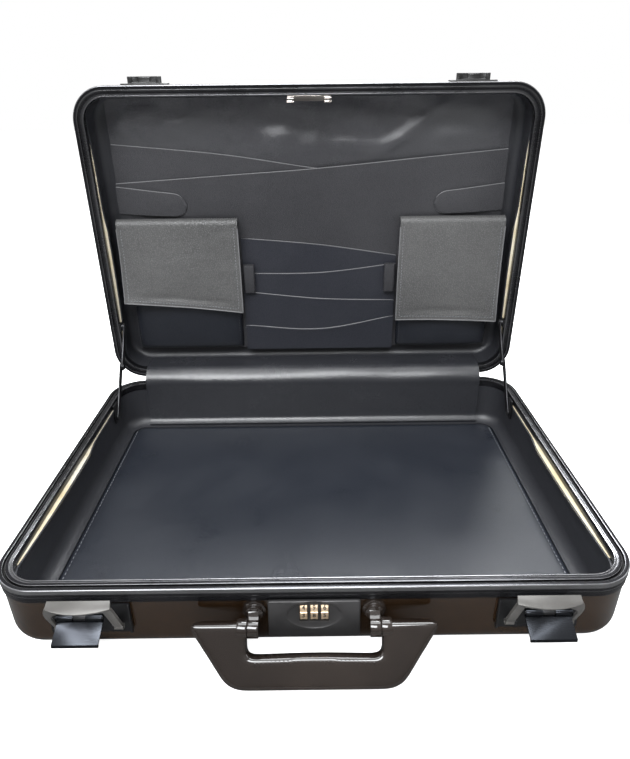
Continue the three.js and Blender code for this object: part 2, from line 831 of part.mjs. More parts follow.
function latchPlate() {
  const x0 = latchX - frameHalf - 4.5;
  const top = rimZ - latchPlateTop;
  const back = -latchWall;
  const plate = box(x0, x0 + latchPlateWidth, back - latchPlateThick, back, top - latchPlateHeight, top);
  const edge = box(x0, x0 + 1.2, back - latchPlateThick - 1.2, back, top - latchPlateHeight, top);
  const lugHalf = leverLugWidth / 2;
  const [pinY, pinZ] = leverPivot;
  const lug = join(
    box(leverX - lugHalf, leverX + lugHalf, pinY, back - 0.5, pinZ - 1.7, pinZ + 1.7),
    rodX(leverX - lugHalf, leverX + lugHalf, pinY, pinZ, 1.7, 16));
  const [footY0, footZ0] = framePivot;
  const ears = [];
  for (const [x, from, to] of [
    [cheekInner[1] + clearance, cheekInner[0] + 0.5, cheekInner[1] + 1],
    [cheekOuter[0] - clearance - 1.4, cheekOuter[0] - 1, cheekOuter[1] - 0.5],
  ]) {
    ears.push(box(x, x + 1.4, footY0 - 1.8, back - 0.5, footZ0 - 1.8, footZ0 + 1.8));
    ears.push(rodX(from, to, footY0, footZ0, 1.1, 12));
  }
  const bore = rodX(leverX - lugHalf - 1, leverX + lugHalf + 1, pinY, pinZ, leverPinRadius + 0.2, 12);
  return cut(join(plate, edge, lug, ...ears), bore);
}

function latchPin() {
  return rodX(leverEnds[0], leverEnds[1], ...leverPivot, leverPinRadius, 12);
}

// about its pin, standing up as it does when shut: a flap in front of two rolled knuckles
function latchLever() {
  const half = leverLugWidth / 2 + clearance;
  const plateY = -leverRoll + 0.1 - leverThick;
  const flap = prismX(shapeOf([
    [plateY, 0], [-leverRoll + 0.1, 0], [-leverRoll + 0.1, leverLength - 1.2], [plateY - 0.6, leverLength],
    [plateY - 1.4, leverLength - 0.6], [plateY, leverLength - 2.4],
  ]), ...leverEnds);
  const knuckles = [[leverEnds[0], leverX - half], [leverX + half, leverEnds[1]]];
  const rolls = knuckles.map(([x0, x1]) => rodX(x0, x1, 0, 0, leverRoll, 20));
  const webs = knuckles.map(([x0, x1]) => box(x0, x1, -leverRoll, -leverRoll / 2, 0, 2.2));
  const bore = rodX(leverEnds[0] - 1, leverEnds[1] + 1, 0, 0, leverPinRadius + clearance, 12);
  return cut(join(flap, ...rolls, ...webs), bore);
}

// about its pivot, standing up as it does when shut: two cheeks and a hooked flange on top
function drawFrame() {
  const half = frameThick / 2;
  const [x0, x1] = [cheekInner[0], cheekOuter[1]];
  const top = frameRise;
  const shape = new THREE.Shape();
  shape.moveTo(x0, 0);
  shape.lineTo(cheekInner[1], 0);
  shape.lineTo(cheekInner[1], top - 7);
  shape.quadraticCurveTo(latchX, top - 4.5, latchX + 8, top - 6);
  shape.quadraticCurveTo(cheekOuter[0], top - 12, cheekOuter[0], top - 20);
  shape.lineTo(cheekOuter[0], 0);
  shape.lineTo(x1 - 0.4, 0);
  shape.bezierCurveTo(x1, top * 0.4, x1 + 1.2, top * 0.75, x1 - 5, top);
  shape.lineTo(x0 + 1, top);
  shape.lineTo(x0, top - 3);
  const plate = prismY(shape, -half, half);
  const flangeShape = new THREE.Shape();
  flangeShape.moveTo(x0, -half);
  flangeShape.quadraticCurveTo(latchX, -half - flangeBow, x1 - 5, -half);
  flangeShape.lineTo(x1 - 5, flangeInner);
  flangeShape.lineTo(x0 + 1, flangeInner);
  const flange = prismZ(flangeShape, top - frameThick, top);
  const eyes = [cheekInner, cheekOuter].map(([a, b]) => rodX(a, b, 0, 0, 2.1, 16));
  const bores = [cheekInner, cheekOuter].map(([a, b]) => rodX(a - 1, b + 1, 0, 0, 1.4, 12));
  return cut(join(plate, flange, ...eyes), ...bores);
}

// in the lid's own frame: flange, hollow block and middle hook
function latchStrike() {
  const wall = -hingeOffset - caseDepth - clearance;
  const z = (height) => rimGap / 2 + height;
  const half = strikeBlockWidth / 2;
  const flange = box(
    latchX - strikeWidth / 2, latchX + strikeWidth / 2, wall - 1, wall, z(1), z(skirtTop - 0.2));
  const block = box(latchX - half, latchX + half, wall - strikeOut - strikeBlockOut, wall - 0.5,
    z(strikeBlockLow), z(skirtTop - 0.8));
  const pocket = box(latchX - half + 4, latchX + half - 4, wall - strikeOut - strikeBlockOut - 1, wall - 2,
    z(strikeBlockLow) - 1, z(skirtTop - 2.4));
  const hook = box(latchX - 5, latchX + 5, wall - strikeOut - strikeBlockOut + 0.8, wall - 0.5,
    z(strikeBlockLow + 0.6), z(skirtTop - 1));
  return join(cut(join(flange, block), pocket), hook);
}

// ---------------------------------------------------------------- organiser, in the lid's frame

const organiserFloor = lidHalf.z(liningFloor(lidHalf) - floorThick(lidHalf));
const panelHalf = caseWidth / 2 - organiserInset;

// layers count outwards from the lining, each one panel thick with a small gap
function layer(start, thick) {
  const high = organiserFloor - clearance - start;
  return [high - thick, high];
}

function panel(points, start, thick) {
  return prismZ(shapeOf(points.map(([x, reach]) => [x, -reach])), ...layer(start, thick));
}

function reach(edge) {
  return (edge * caseDepth) / drawnDepth;
}

function documentPocket(edge, start) {
  return panel([
    [-panelHalf, organiserStart], [panelHalf, organiserStart], [panelHalf, reach(edge.right)],
    [pocketKinkX, reach(edge.kink)], [-panelHalf, reach(edge.left)],
  ], start, pocketThick);
}

const strapStart = 2 * (pocketThick + clearance);

// distance of a pouch's inner edge from the middle
function pouchInner(side) {
  return panelHalf - pouchWidths[side];
}

// right-hand retaining tab with a rounded end
function strap() {
  const { low, high, tip } = strapEdge;
  const tipX = panelHalf - strapLength + strapTipRadius;
  const shape = new THREE.Shape();
  shape.moveTo(panelHalf, -reach(high));
  shape.lineTo(panelHalf, -reach(low));
  shape.lineTo(tipX, -reach(tip) + strapTipRadius);
  shape.absarc(tipX, -reach(tip), strapTipRadius, Math.PI / 2, Math.PI * 1.5);
  return prismZ(shape, ...layer(strapStart, strapThick));
}

// pouches, flaps and loops are drawn on the right, with the sizes of the side they belong to
function pouch(side) {
  const bevel = 2.5;
  const outline = roundedRect(
    pouchInner(side) + bevel, panelHalf - bevel, -reach(pouchTop) + bevel, -organiserStart - bevel, 2);
  const slab = extruded(outline, pouchThick - 2 * bevel, {
    bevelEnabled: true, bevelThickness: bevel, bevelSize: bevel, bevelSegments: 2, curveSegments: 3,
  });
  return slab.translate(0, 0, layer(strapStart, pouchThick)[0] + bevel);
}

// hangs in front of the pouch from its top edge
function pouchFlap(side) {
  const high = layer(strapStart, pouchThick)[0] - clearance;
  const top = -reach(pouchTop);
  const outline = roundedRect(
    pouchInner(side) - flapOverhang, panelHalf + flapOverhang, top - flapOverhang, top + flapDrops[side],
    flapOverhang);
  return prismZ(outline, high - flapThick, high);
}

function cardPockets() {
  const x0 = flapOverhang + 1 - pouchInner('left');
  const x1 = pouchInner('right') - flapOverhang - 1;
  const [, high] = layer(strapStart, 1);
  const steps = cardPocketEdges.map(({ left, right }, i) => {
    const outline = [
      [x0, -organiserStart], [x1, -organiserStart], [x1, -reach(right)], [x0, -reach(left)],
    ];
    return prismZ(shapeOf(outline), high - cardStep * (i + 1), high);
  });
  return join(...steps);
}

function penLoop(side) {
  const centre = pouchInner(side) - flapOverhang - 2 - penLoopWidth / 2;
  const half = penLoopWidth / 2;
  const top = layer(strapStart, 1)[1] - cardStep * cardPocketEdges.length - clearance;
  const outer = roundedRect(centre - half, centre + half, top - penLoopThick, top, penLoopThick / 2 - 0.3);
  const inner = roundedRect(centre - half + penLoopWall, centre + half - penLoopWall,
    top - penLoopThick + penLoopWall, top - penLoopWall, penLoopThick / 2 - penLoopWall - 0.1);
  const sleeve = prismY(outer, -reach(penLoopEdge.high), -reach(penLoopEdge.low));
  const hollow = prismY(inner, -reach(penLoopEdge.high) - 1, -reach(penLoopEdge.low) + 1);
  return cut(sleeve, hollow);
}

// ---------------------------------------------------------------- assembly

const brown = 0x2a1d15;
const rimGrey = 0x3a3a3d;
const leather = 0x17181c;
const cream = 0xe8dfc4;
const steel = 0x2c2d30;

const attacheCase = new THREE.Group();
const sides = [['left', mirrored], ['right', (geometry) => geometry]];

function addBase(group) {
  addPart(group, 'base_shell', cut(shell(baseHalf), lockWindow()), brown, 0.12, 0.3);
  addPart(group, 'base_frame', rim(baseHalf, sealGroove()), rimGrey, 0.35, 0.8);
  addPart(group, 'rim_gasket', gasket(), 0x0c0c0d, 0.8, 0);
  addPart(group, 'base_lining', baseLining(), leather, 0.5, 0);
  addPart(group, 'base_floor_panel', baseFloorPanel(), leather, 0.5, 0);
  addPart(group, 'hinge_cover_base', hingeCover(baseHalf), leather, 0.45, 0);
  addPart(group, 'lock_plate', lockPlate(), 0x47464a, 0.4, 0.7);
  addPart(group, 'lock_case', lockCase(), 0x1d1d1f, 0.5, 0.2);
  addPart(group, 'lock_spindle', lockSpindle(), 0x9a9a98, 0.3, 1);
  addPart(group, 'lock_bolt', lockBolt(), 0x9a9a98, 0.35, 1);
  addPart(group, 'bolt_spring', boltSpring(), 0xb0b0ae, 0.3, 1);
  for (let i = 0; i < dialCount; i++) {
    addPart(group, `dial_${i + 1}`, dial(i), 0xcdb291, 0.4, 0.6);
  }
  const leaf = hingeLeaf(false).translate(0, hingeY, hingeZ);
  addPart(group, 'hinge_leaf_base', leaf, steel, 0.4, 0.8);
  addPart(group, 'hinge_pin', hingePin(), 0x8c8c8a, 0.3, 1);
  for (const [side, place] of sides) {
    addPart(group, `base_board_${side}`, place(sideBoard(baseHalf)), cream, 0.9, 0);
    addPart(group, `stay_foot_${side}`, place(stayFoot()), steel, 0.4, 0.8);
    addPart(group, `stay_lower_${side}`, place(stayLower()), 0x1b1b1d, 0.4, 0.7);
    addPart(group, `stay_upper_${side}`, place(stayUpper()), 0x1b1b1d, 0.4, 0.7);
    addPart(group, `handle_post_${side}`, place(handlePost()), 0x35302d, 0.2, 0.6);
    addPart(group, `handle_pin_${side}`, place(handlePin()), 0x8c8c8a, 0.3, 1);
  }
}

function addHandle(group) {
  const swing = new THREE.Group();
  swing.position.set(0, pivotY, pivotZ);
  swing.rotation.x = handleDroop() - Math.PI / 2;
  addPart(swing, 'handle', handle(), 0x231a14, 0.08, 0.1);
  group.add(swing);
}

function addLatches(group) {
  for (const [side, place] of sides) {
    addPart(group, `latch_plate_${side}`, place(latchPlate()), 0x19191b, 0.5, 0.6);
    addPart(group, `latch_pin_${side}`, place(latchPin()), 0x8c8c8a, 0.3, 1);
    const lever = new THREE.Group();
    lever.position.set(0, ...leverPivot);
    lever.rotation.x = radians(leverOpenTurn);
    addPart(lever, `latch_lever_${side}`, place(latchLever()), 0x50545c, 0.3, 0.9);
    const frame = new THREE.Group();
    frame.position.set(0, ...framePivot);
    frame.rotation.x = radians(frameOpenTilt);
    addPart(frame, `draw_frame_${side}`, place(drawFrame()), 0xa9a49c, 0.35, 0.6);
    group.add(lever, frame);
  }
}

function addLid(group) {
  const lid = new THREE.Group();
  lid.position.set(0, hingeY, hingeZ);
  lid.rotation.x = -radians(openAngle);
  const moved = (geometry) => geometry.translate(0, -hingeY, 0);
  addPart(lid, 'lid_shell', moved(shell(lidHalf)), brown, 0.12, 0.3);
  addPart(lid, 'lid_frame', moved(rim(lidHalf, sealTongue())), rimGrey, 0.35, 0.8);
  addPart(lid, 'lid_lining', moved(lining(lidHalf)), leather, 0.5, 0);
  addPart(lid, 'hinge_cover_lid', moved(hingeCover(lidHalf)), leather, 0.45, 0);
  addPart(lid, 'hinge_leaf_lid', hingeLeaf(true), steel, 0.4, 0.8);
  const frontPocket = documentPocket(frontPocketEdge, pocketThick + clearance);
  addPart(lid, 'document_pocket_rear', documentPocket(rearPocketEdge, 0), leather, 0.5, 0);
  addPart(lid, 'document_pocket_front', frontPocket, leather, 0.5, 0);
  addPart(lid, 'card_pockets', cardPockets(), leather, 0.5, 0);
  addPart(lid, 'lock_striker', striker(), 0xc9c4ba, 0.25, 1);
  for (const [side, place] of sides) {
    addPart(lid, `lid_board_${side}`, moved(place(sideBoard(lidHalf))), cream, 0.9, 0);
    addPart(lid, `stay_head_${side}`, place(stayHead()), steel, 0.4, 0.8);
    addPart(lid, `latch_strike_${side}`, place(latchStrike()), 0x55534f, 0.4, 0.8);
    addPart(lid, `strap_${side}`, place(strap()), leather, 0.45, 0);
    addPart(lid, `pouch_${side}`, place(pouch(side)), 0x22242a, 0.5, 0);
    addPart(lid, `pouch_flap_${side}`, place(pouchFlap(side)), 0x45484d, 0.5, 0);
    addPart(lid, `pen_loop_${side}`, place(penLoop(side)), leather, 0.5, 0);
  }
  group.add(lid);
}

addBase(attacheCase);
addHandle(attacheCase);
addLatches(attacheCase);
addLid(attacheCase);

export default attacheCase;
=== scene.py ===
import json
import math
import bmesh
import bpy
from mathutils import Matrix, Vector, noise


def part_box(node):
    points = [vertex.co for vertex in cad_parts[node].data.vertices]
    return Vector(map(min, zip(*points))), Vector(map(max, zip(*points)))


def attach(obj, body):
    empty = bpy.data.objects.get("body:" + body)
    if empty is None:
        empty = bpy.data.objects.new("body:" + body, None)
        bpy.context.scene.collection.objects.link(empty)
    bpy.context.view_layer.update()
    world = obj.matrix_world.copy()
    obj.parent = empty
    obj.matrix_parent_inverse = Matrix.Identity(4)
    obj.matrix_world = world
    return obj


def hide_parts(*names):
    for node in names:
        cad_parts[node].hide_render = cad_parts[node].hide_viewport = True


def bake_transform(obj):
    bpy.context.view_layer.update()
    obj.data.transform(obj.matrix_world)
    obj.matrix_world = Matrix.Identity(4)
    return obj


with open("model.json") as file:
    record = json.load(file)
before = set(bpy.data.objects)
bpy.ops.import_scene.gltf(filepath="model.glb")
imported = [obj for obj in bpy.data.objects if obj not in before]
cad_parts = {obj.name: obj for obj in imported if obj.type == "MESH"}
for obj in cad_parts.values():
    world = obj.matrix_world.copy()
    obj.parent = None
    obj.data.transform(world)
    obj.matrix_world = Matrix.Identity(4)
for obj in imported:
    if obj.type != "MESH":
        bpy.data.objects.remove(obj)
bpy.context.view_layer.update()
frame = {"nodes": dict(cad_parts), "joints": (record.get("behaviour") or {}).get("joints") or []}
mm = 0.001
print("frame loaded,", len(frame["nodes"]), "nodes")


# the low and high corners of a node, in mm
def boxOf(node):
    low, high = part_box(node)
    return low / mm, high / mm


def joint(name):
    return next(j for j in frame["joints"] if j["name"] == name)


shellLow = boxOf("base_shell")[0]
rimHigh = boxOf("base_frame")[1]
hinge = Vector(joint("lid_hinge")["pos_m"]) / mm
lidTurn = math.radians(max(abs(a) for a in joint("lid_hinge")["range_deg"]))
rimZ = rimHigh.z
halfWidth = rimHigh.x
halfDepth = rimHigh.y
lidGap = hinge.z - rimZ

case = {
    "cornerRadius": 33,
    "edgeRadius": 16,
    "wall": 1.5,
    "draft": math.radians(1.5),
    "shellInset": 1.4,
    "skirtDepth": 11,
    "baseHeight": rimZ - shellLow.z,
    "lidHeight": 38,
    "underRim": 4.3,        # where the sheet starts, up inside the rim's slot
    "dialMargin": 1.2,      # clear of the number wheels where the wall is cut
    "cornerSteps": 20,
    "edgeSteps": 14,
}


def inBase(x, y, depth):
    return Vector((x, y, rimZ - depth)) * mm


# y is where the point would lie with the lid shut, depth is up into the lid from its rim
def inLid(x, y, depth):
    along, up = y - hinge.y, depth + lidGap
    return Vector((
        x,
        hinge.y + along * math.cos(lidTurn) + up * math.sin(lidTurn),
        hinge.z - along * math.sin(lidTurn) + up * math.cos(lidTurn),
    )) * mm


# the same by distance from the hinge line, and height off the lid's floor
def onOrganiser(x, reach, out):
    return inLid(x, hinge.y - reach, organiser["floorDepth"] - out)


def inScene(name, data):
    obj = bpy.data.objects.new(name, data)
    bpy.context.scene.collection.objects.link(obj)
    return obj


def meshFrom(bm, name):
    mesh = bpy.data.meshes.new(name)
    bm.to_mesh(mesh)
    bm.free()
    return mesh


def evaluated(obj):
    depsgraph = bpy.context.evaluated_depsgraph_get()
    return bpy.data.meshes.new_from_object(obj.evaluated_get(depsgraph), depsgraph=depsgraph)


def meshPiece(name, points, faces, material=None, smoothAngle=35, faceMaterials=None):
    mesh = bpy.data.meshes.new(name)
    mesh.from_pydata([tuple(p) for p in points], [], faces)
    obj = inScene(name, mesh)
    for m in (material if isinstance(material, list) else [material]):
        if m:
            mesh.materials.append(m)
    if faceMaterials:
        mesh.polygons.foreach_set("material_index", faceMaterials)
    outward(obj)
    shade(obj, smoothAngle)
    return obj


# doubles merged and faces turned outwards
def outward(obj):
    bm = bmesh.new()
    bm.from_mesh(obj.data)
    bmesh.ops.remove_doubles(bm, verts=bm.verts, dist=1e-6)
    bmesh.ops.recalc_face_normals(bm, faces=bm.faces)
    bm.to_mesh(obj.data)
    bm.free()


def shade(obj, angle):
    obj.data.shade_smooth()
    obj.data.set_sharp_from_angle(angle=math.radians(angle))


# the modifiers' result made the object's own mesh
def bake(obj):
    mesh = evaluated(obj)
    obj.modifiers.clear()
    obj.data = mesh
    mesh.name = obj.name
    return obj


# several objects made one, with their materials kept
def joined(name, objects, smoothAngle=None):
    bm = bmesh.new()
    materials = []
    for o in objects:
        offset = len(bm.faces)
        bm.from_mesh(o.data)
        bm.faces.ensure_lookup_table()
        for f in bm.faces[offset:]:
            m = o.data.materials[f.material_index] if o.data.materials else None
            if m not in materials:
                materials.append(m)
            f.material_index = materials.index(m)
    mesh = meshFrom(bm, name)
    for m in materials:
        mesh.materials.append(m)
    for o in objects:
        bpy.data.objects.remove(o)
    obj = inScene(name, mesh)
    if smoothAngle:
        shade(obj, smoothAngle)
    return obj


# a grid of rows of points; closedU joins each row's ends, closedV joins last row to first
def gridFaces(rows, columns, closedU=False, closedV=False):
    faces = []
    for r in range(rows if closedV else rows - 1):
        for c in range(columns if closedU else columns - 1):
            r2, c2 = (r + 1) % rows, (c + 1) % columns
            faces.append([r * columns + c, r * columns + c2, r2 * columns + c2, r2 * columns + c])
    return faces


# a sheet through rows of points, given its thickness; offset -1 is inwards
def gridPiece(name, rows, material, thick, offset=-1, smoothAngle=50):
    points = [p for row in rows for p in row]
    obj = meshPiece(name, points, gridFaces(len(rows), len(rows[0])), material, smoothAngle)
    solid = obj.modifiers.new("thick", "SOLIDIFY")
    solid.thickness = thick * mm
    solid.offset = offset
    solid.use_even_offset = False
    bake(obj)
    outward(obj)
    shade(obj, smoothAngle)
    return obj


def soften(obj, width, segments, angle):
    bevel = obj.modifiers.new("edges", "BEVEL")
    bevel.width = width * mm
    bevel.segments = segments
    bevel.limit_method = "ANGLE"
    bevel.angle_limit = math.radians(angle)
    bevel.harden_normals = False


# an outline in two directions run between two planes
def slab(name, outline, place, low, high, material):
    bm = bmesh.new()
    verts = [bm.verts.new(place(u, v, low)) for u, v in outline]
    edges = [bm.edges.new((verts[i], verts[(i + 1) % len(verts)])) for i in range(len(verts))]
    bmesh.ops.triangle_fill(bm, edges=edges, use_beauty=True, use_dissolve=False)
    bmesh.ops.dissolve_limit(bm, angle_limit=math.radians(1), verts=bm.verts, edges=bm.edges)
    made = bmesh.ops.extrude_face_region(bm, geom=list(bm.faces))
    lift = place(*outline[0], high) - place(*outline[0], low)
    far = [g for g in made["geom"] if isinstance(g, bmesh.types.BMVert)]
    bmesh.ops.translate(bm, verts=far, vec=lift)
    obj = inScene(name, meshFrom(bm, name))
    obj.data.materials.append(material)
    outward(obj)
    return obj


# a quadratic curve between two points with one handle
def curved(a, handle, b, steps):
    points = []
    for i in range(1, steps + 1):
        t = i / steps
        points.append(tuple((1 - t) ** 2 * a[k] + 2 * t * (1 - t) * handle[k] + t * t * b[k]
                            for k in (0, 1)))
    return points


# corners of a closed profile replaced by short arcs
def rounded(profile, radius, steps):
    result = []
    count = len(profile)
    for i, corner in enumerate(profile):
        before, here, after = Vector(profile[i - 1]), Vector(corner), Vector(profile[(i + 1) % count])
        a, b = before - here, after - here
        if a.length < 1e-6 or b.length < 1e-6 or abs(math.pi - a.angle(b)) < 0.2:
            result.append(tuple(here))
            continue
        r = min(radius, a.length * 0.45, b.length * 0.45)
        p, q = here + a.normalized() * r, here + b.normalized() * r
        for step in range(steps + 1):
            t = step / steps
            result.append(tuple(p * (1 - t) ** 2 + here * 2 * t * (1 - t) + q * t * t))
    return result


# the case outline moved inwards; sides get extra points so that they can bow
def outlineAt(inset, sideSteps=12):
    radius = max(case["cornerRadius"] - inset, 2)
    cx, cy = halfWidth - inset - radius, halfDepth - inset - radius
    points = []
    steps = case["cornerSteps"]
    corners = [(1, -1, -90), (1, 1, 0), (-1, 1, 90), (-1, -1, 180)]
    for k, (sx, sy, start) in enumerate(corners):
        for step in range(steps + 1):
            angle = math.radians(start + 90 * step / steps)
            points.append((sx * cx + radius * math.cos(angle), sy * cy + radius * math.sin(angle)))
        nx, ny, following = corners[(k + 1) % 4]
        angle = math.radians(following)
        goal = (nx * cx + radius * math.cos(angle), ny * cy + radius * math.sin(angle))
        last = points[-1]
        for step in range(1, sideSteps):
            t = step / sideSteps
            points.append(tuple(last[a] * (1 - t) + goal[a] * t for a in (0, 1)))
    return points


# profile points are (inset, depth); shift moves a point by where it is round the case
def sweep(name, profile, place, material, isRing, shift=None, smoothAngle=35, faceMaterial=None):
    rows = []
    for inset, depth in profile:
        row = []
        for x, y in outlineAt(inset):
            dx, dy, dd = shift(x, y, inset, depth) if shift else (0, 0, 0)
            row.append(place(x + dx, y + dy, depth + dd))
        rows.append(row)
    columns = len(rows[0])
    faces = gridFaces(len(rows), columns, True, isRing)
    materials = None
    if faceMaterial:
        materials = [faceMaterial(i // columns) for i in range(len(faces))]
    if not isRing:
        last = (len(rows) - 1) * columns
        faces += [list(range(columns))[::-1], [last + i for i in range(columns)]]
        if materials:
            materials += [0, 0]
    return meshPiece(name, [p for row in rows for p in row], faces, material, smoothAngle, materials)


# a turned shape about an axis along X: profile of (x, radius)
def turnedX(name, profile, y, z, material, sides=48):
    rows = []
    turns = [2 * math.pi * k / sides for k in range(sides)]
    for x, r in profile:
        rows.append([Vector((x, y + r * math.cos(a), z + r * math.sin(a))) * mm for a in turns])
    faces = gridFaces(len(rows), sides, True)
    last = (len(rows) - 1) * sides
    faces += [list(range(sides)), [last + i for i in range(sides)]]
    return meshPiece(name, [p for row in rows for p in row], faces, material)


# a merged copy of a CAD node with its edges softened and its flats cleaned
def refined(node, material, bevel, segments=2, angle=32):
    mesh = frame["nodes"][node].data.copy()
    mesh.materials.clear()
    obj = inScene(node + "_fine", mesh)
    mesh.materials.append(material)
    bm = bmesh.new()
    bm.from_mesh(mesh)
    bmesh.ops.remove_doubles(bm, verts=bm.verts, dist=2e-6)
    bmesh.ops.dissolve_limit(bm, angle_limit=math.radians(0.5), verts=bm.verts, edges=bm.edges)
    bm.to_mesh(mesh)
    bm.free()
    if bevel:
        soften(obj, bevel, segments, angle)
        bake(obj)
    shade(obj, angle)
    return obj


# a box between two corners taken out of the piece
def cutWith(obj, low, high):
    x, y, z = (high - low) * mm
    bm = bmesh.new()
    bmesh.ops.create_cube(bm, size=1)
    bmesh.ops.scale(bm, vec=(x, y, z), verts=bm.verts)
    bmesh.ops.translate(bm, vec=(low + high) * mm / 2, verts=bm.verts)
    cutter = inScene("cutter", meshFrom(bm, "cutter"))
    step = obj.modifiers.new("cut", "BOOLEAN")
    step.object = cutter
    step.solver = "EXACT"
    bake(obj)
    bpy.data.objects.remove(cutter)
    shade(obj, 35)


# the piece rides on its body and stands for its nodes, which are hidden
def settle(obj, body, slot, *nodes):
    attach(obj, body)
    if nodes:
        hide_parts(*nodes)


view = {
    "place": (2.15, -447.65, 364.58),
    "pitch": 23.264,
    "yaw": 0.083,
    "roll": -0.627,
    "lens": 27.6,
    "sensor": 36,
    "shiftY": -0.0515,
    "nearest": 0.01,
}


def makeCamera():
    pitch, yaw, roll = (math.radians(view[k]) for k in ("pitch", "yaw", "roll"))
    ahead = Vector((math.sin(yaw) * math.cos(pitch), math.cos(yaw) * math.cos(pitch), -math.sin(pitch)))
    level = Vector((math.cos(yaw), -math.sin(yaw), 0))
    upright = level.cross(ahead)
    right = level * math.cos(roll) + upright * math.sin(roll)
    up = upright * math.cos(roll) - level * math.sin(roll)
    data = bpy.data.cameras.new("camera")
    data.lens = view["lens"]
    data.sensor_width = view["sensor"]
    data.shift_y = view["shiftY"]
    data.clip_start = view["nearest"]
    obj = inScene("camera", data)
    turn = Matrix((right, up, -ahead)).transposed().to_4x4()
    obj.matrix_world = Matrix.Translation(Vector(view["place"]) * mm) @ turn
    bpy.context.scene.camera = obj


def areaLight(name, place, aim, size, power, colour):
    data = bpy.data.lights.new(name, "AREA")
    data.shape = "RECTANGLE"
    data.size, data.size_y = size
    data.energy = power
    data.color = colour
    obj = inScene(name, data)
    obj.location = place
    obj.rotation_euler = (Vector(aim) - Vector(place)).to_track_quat("-Z", "Y").to_euler()


light = {
    "roomLow": 0.10,
    "roomHigh": 0.55,
    "roomRise": 0.8,
    "floorSize": 6,
    "floorDrop": 0.0003,
    "paper": 0.95,
    "paperRough": 0.9,
    "paperSpecular": 0.1,
    "floorMirrored": 0.09,
    "floorGlow": 0.9,
    "tint": (0.96, 0.98, 1.0),
    "boxes": [      # name, place, aim, size in m, power in W
        ("topBox", (0, 0.2, 1.8), (0, 0.05, 0.05), (1.6, 0.8), 18),
        ("backBox", (0.22, 1.2, 1.75), (0.05, -0.05, 0.05), (1.1, 0.8), 56),
        ("frontBox", (-0.35, -1.2, 1.7), (0, 0.1, 0.15), (1.5, 0.8), 46),
        ("leftBox", (-1.7, 0.1, 1.0), (0, 0, 0.1), (0.5, 1.3), 5),
        ("rightBox", (1.7, 0.1, 1.0), (0, 0, 0.1), (0.5, 1.3), 6),
    ],
}


# white straight on; in reflections a dim room low down and a brighter ceiling
def makeRoom():
    world = bpy.data.worlds.new("studio")
    bpy.context.scene.world = world
    world.use_nodes = True
    tree = world.node_tree
    back = tree.nodes["Background"]
    rays = tree.nodes.new("ShaderNodeLightPath")
    split = tree.nodes.new("ShaderNodeSeparateXYZ")
    tree.links.new(tree.nodes.new("ShaderNodeTexCoord").outputs["Generated"], split.inputs[0])
    sky = tree.nodes.new("ShaderNodeMapRange")
    tree.links.new(split.outputs["Z"], sky.inputs["Value"])
    sky.inputs["From Max"].default_value = light["roomRise"]
    sky.inputs["To Min"].default_value = light["roomLow"]
    sky.inputs["To Max"].default_value = light["roomHigh"]
    seen = tree.nodes.new("ShaderNodeMix")
    tree.links.new(rays.outputs["Is Camera Ray"], seen.inputs["Factor"])
    tree.links.new(sky.outputs["Result"], seen.inputs[2])
    seen.inputs[3].default_value = 1.0
    tree.links.new(seen.outputs[0], back.inputs["Strength"])
    back.inputs["Color"].default_value = (1, 1, 1, 1)


# pale paper that mirrors darker than it looks, so the glossy shell stays dark
def makeFloor():
    bm = bmesh.new()
    bmesh.ops.create_grid(bm, x_segments=1, y_segments=1, size=light["floorSize"])
    floor = inScene("floor", meshFrom(bm, "floor"))
    floor.location.z = -light["floorDrop"]
    paper = bpy.data.materials.new("paper")
    paper.use_nodes = True
    tree = paper.node_tree
    shader = tree.nodes["Principled BSDF"]
    shader.inputs["Roughness"].default_value = light["paperRough"]
    shader.inputs["Specular IOR Level"].default_value = light["paperSpecular"]
    rays = tree.nodes.new("ShaderNodeLightPath")
    tone = tree.nodes.new("ShaderNodeMix")
    tone.data_type = "RGBA"
    tree.links.new(rays.outputs["Is Glossy Ray"], tone.inputs["Factor"])
    tone.inputs[6].default_value = (*[light["paper"]] * 3, 1)
    tone.inputs[7].default_value = (*[light["floorMirrored"]] * 3, 1)
    tree.links.new(tone.outputs[2], shader.inputs["Base Color"])
    shader.inputs["Emission Color"].default_value = (1, 1, 1, 1)
    glow = tree.nodes.new("ShaderNodeMath")
    glow.operation = "MULTIPLY"
    tree.links.new(rays.outputs["Is Camera Ray"], glow.inputs[0])
    glow.inputs[1].default_value = light["floorGlow"]
    tree.links.new(glow.outputs[0], shader.inputs["Emission Strength"])
    floor.data.materials.append(paper)


bpy.context.scene.view_settings.view_transform = "Standard"
makeCamera()
makeRoom()
for name, place, aim, size, power in light["boxes"]:
    areaLight(name, place, aim, size, power, light["tint"])
makeFloor()
print("camera and studio ready")


def newGroup(name, inputs, outputs):
    group = bpy.data.node_groups.new(name, "ShaderNodeTree")
    for label, kind, value in inputs:
        socket = group.interface.new_socket(name=label, in_out="INPUT", socket_type=kind)
        if value is not None:
            socket.default_value = value
    for label, kind in outputs:
        group.interface.new_socket(name=label, in_out="OUTPUT", socket_type=kind)
    return group, group.nodes.new("NodeGroupInput"), group.nodes.new("NodeGroupOutput")


def wire(tree, kind, links=None, **settings):
    node = tree.nodes.new(kind)
    for key, value in settings.items():
        setattr(node, key, value)
    for socket, source in (links or {}).items():
        if isinstance(source, bpy.types.NodeSocket):
            tree.links.new(source, node.inputs[socket])
        else:
            node.inputs[socket].default_value = source
    return node


def combine(tree, operation, a, b):
    return wire(tree, "ShaderNodeMath", {0: a, 1: b}, operation=operation).outputs[0]


# the sum of two values, each by its share
def weighted(tree, a, shareA, b, shareB):
    return combine(tree, "ADD", combine(tree, "MULTIPLY", a, shareA), combine(tree, "MULTIPLY", b, shareB))


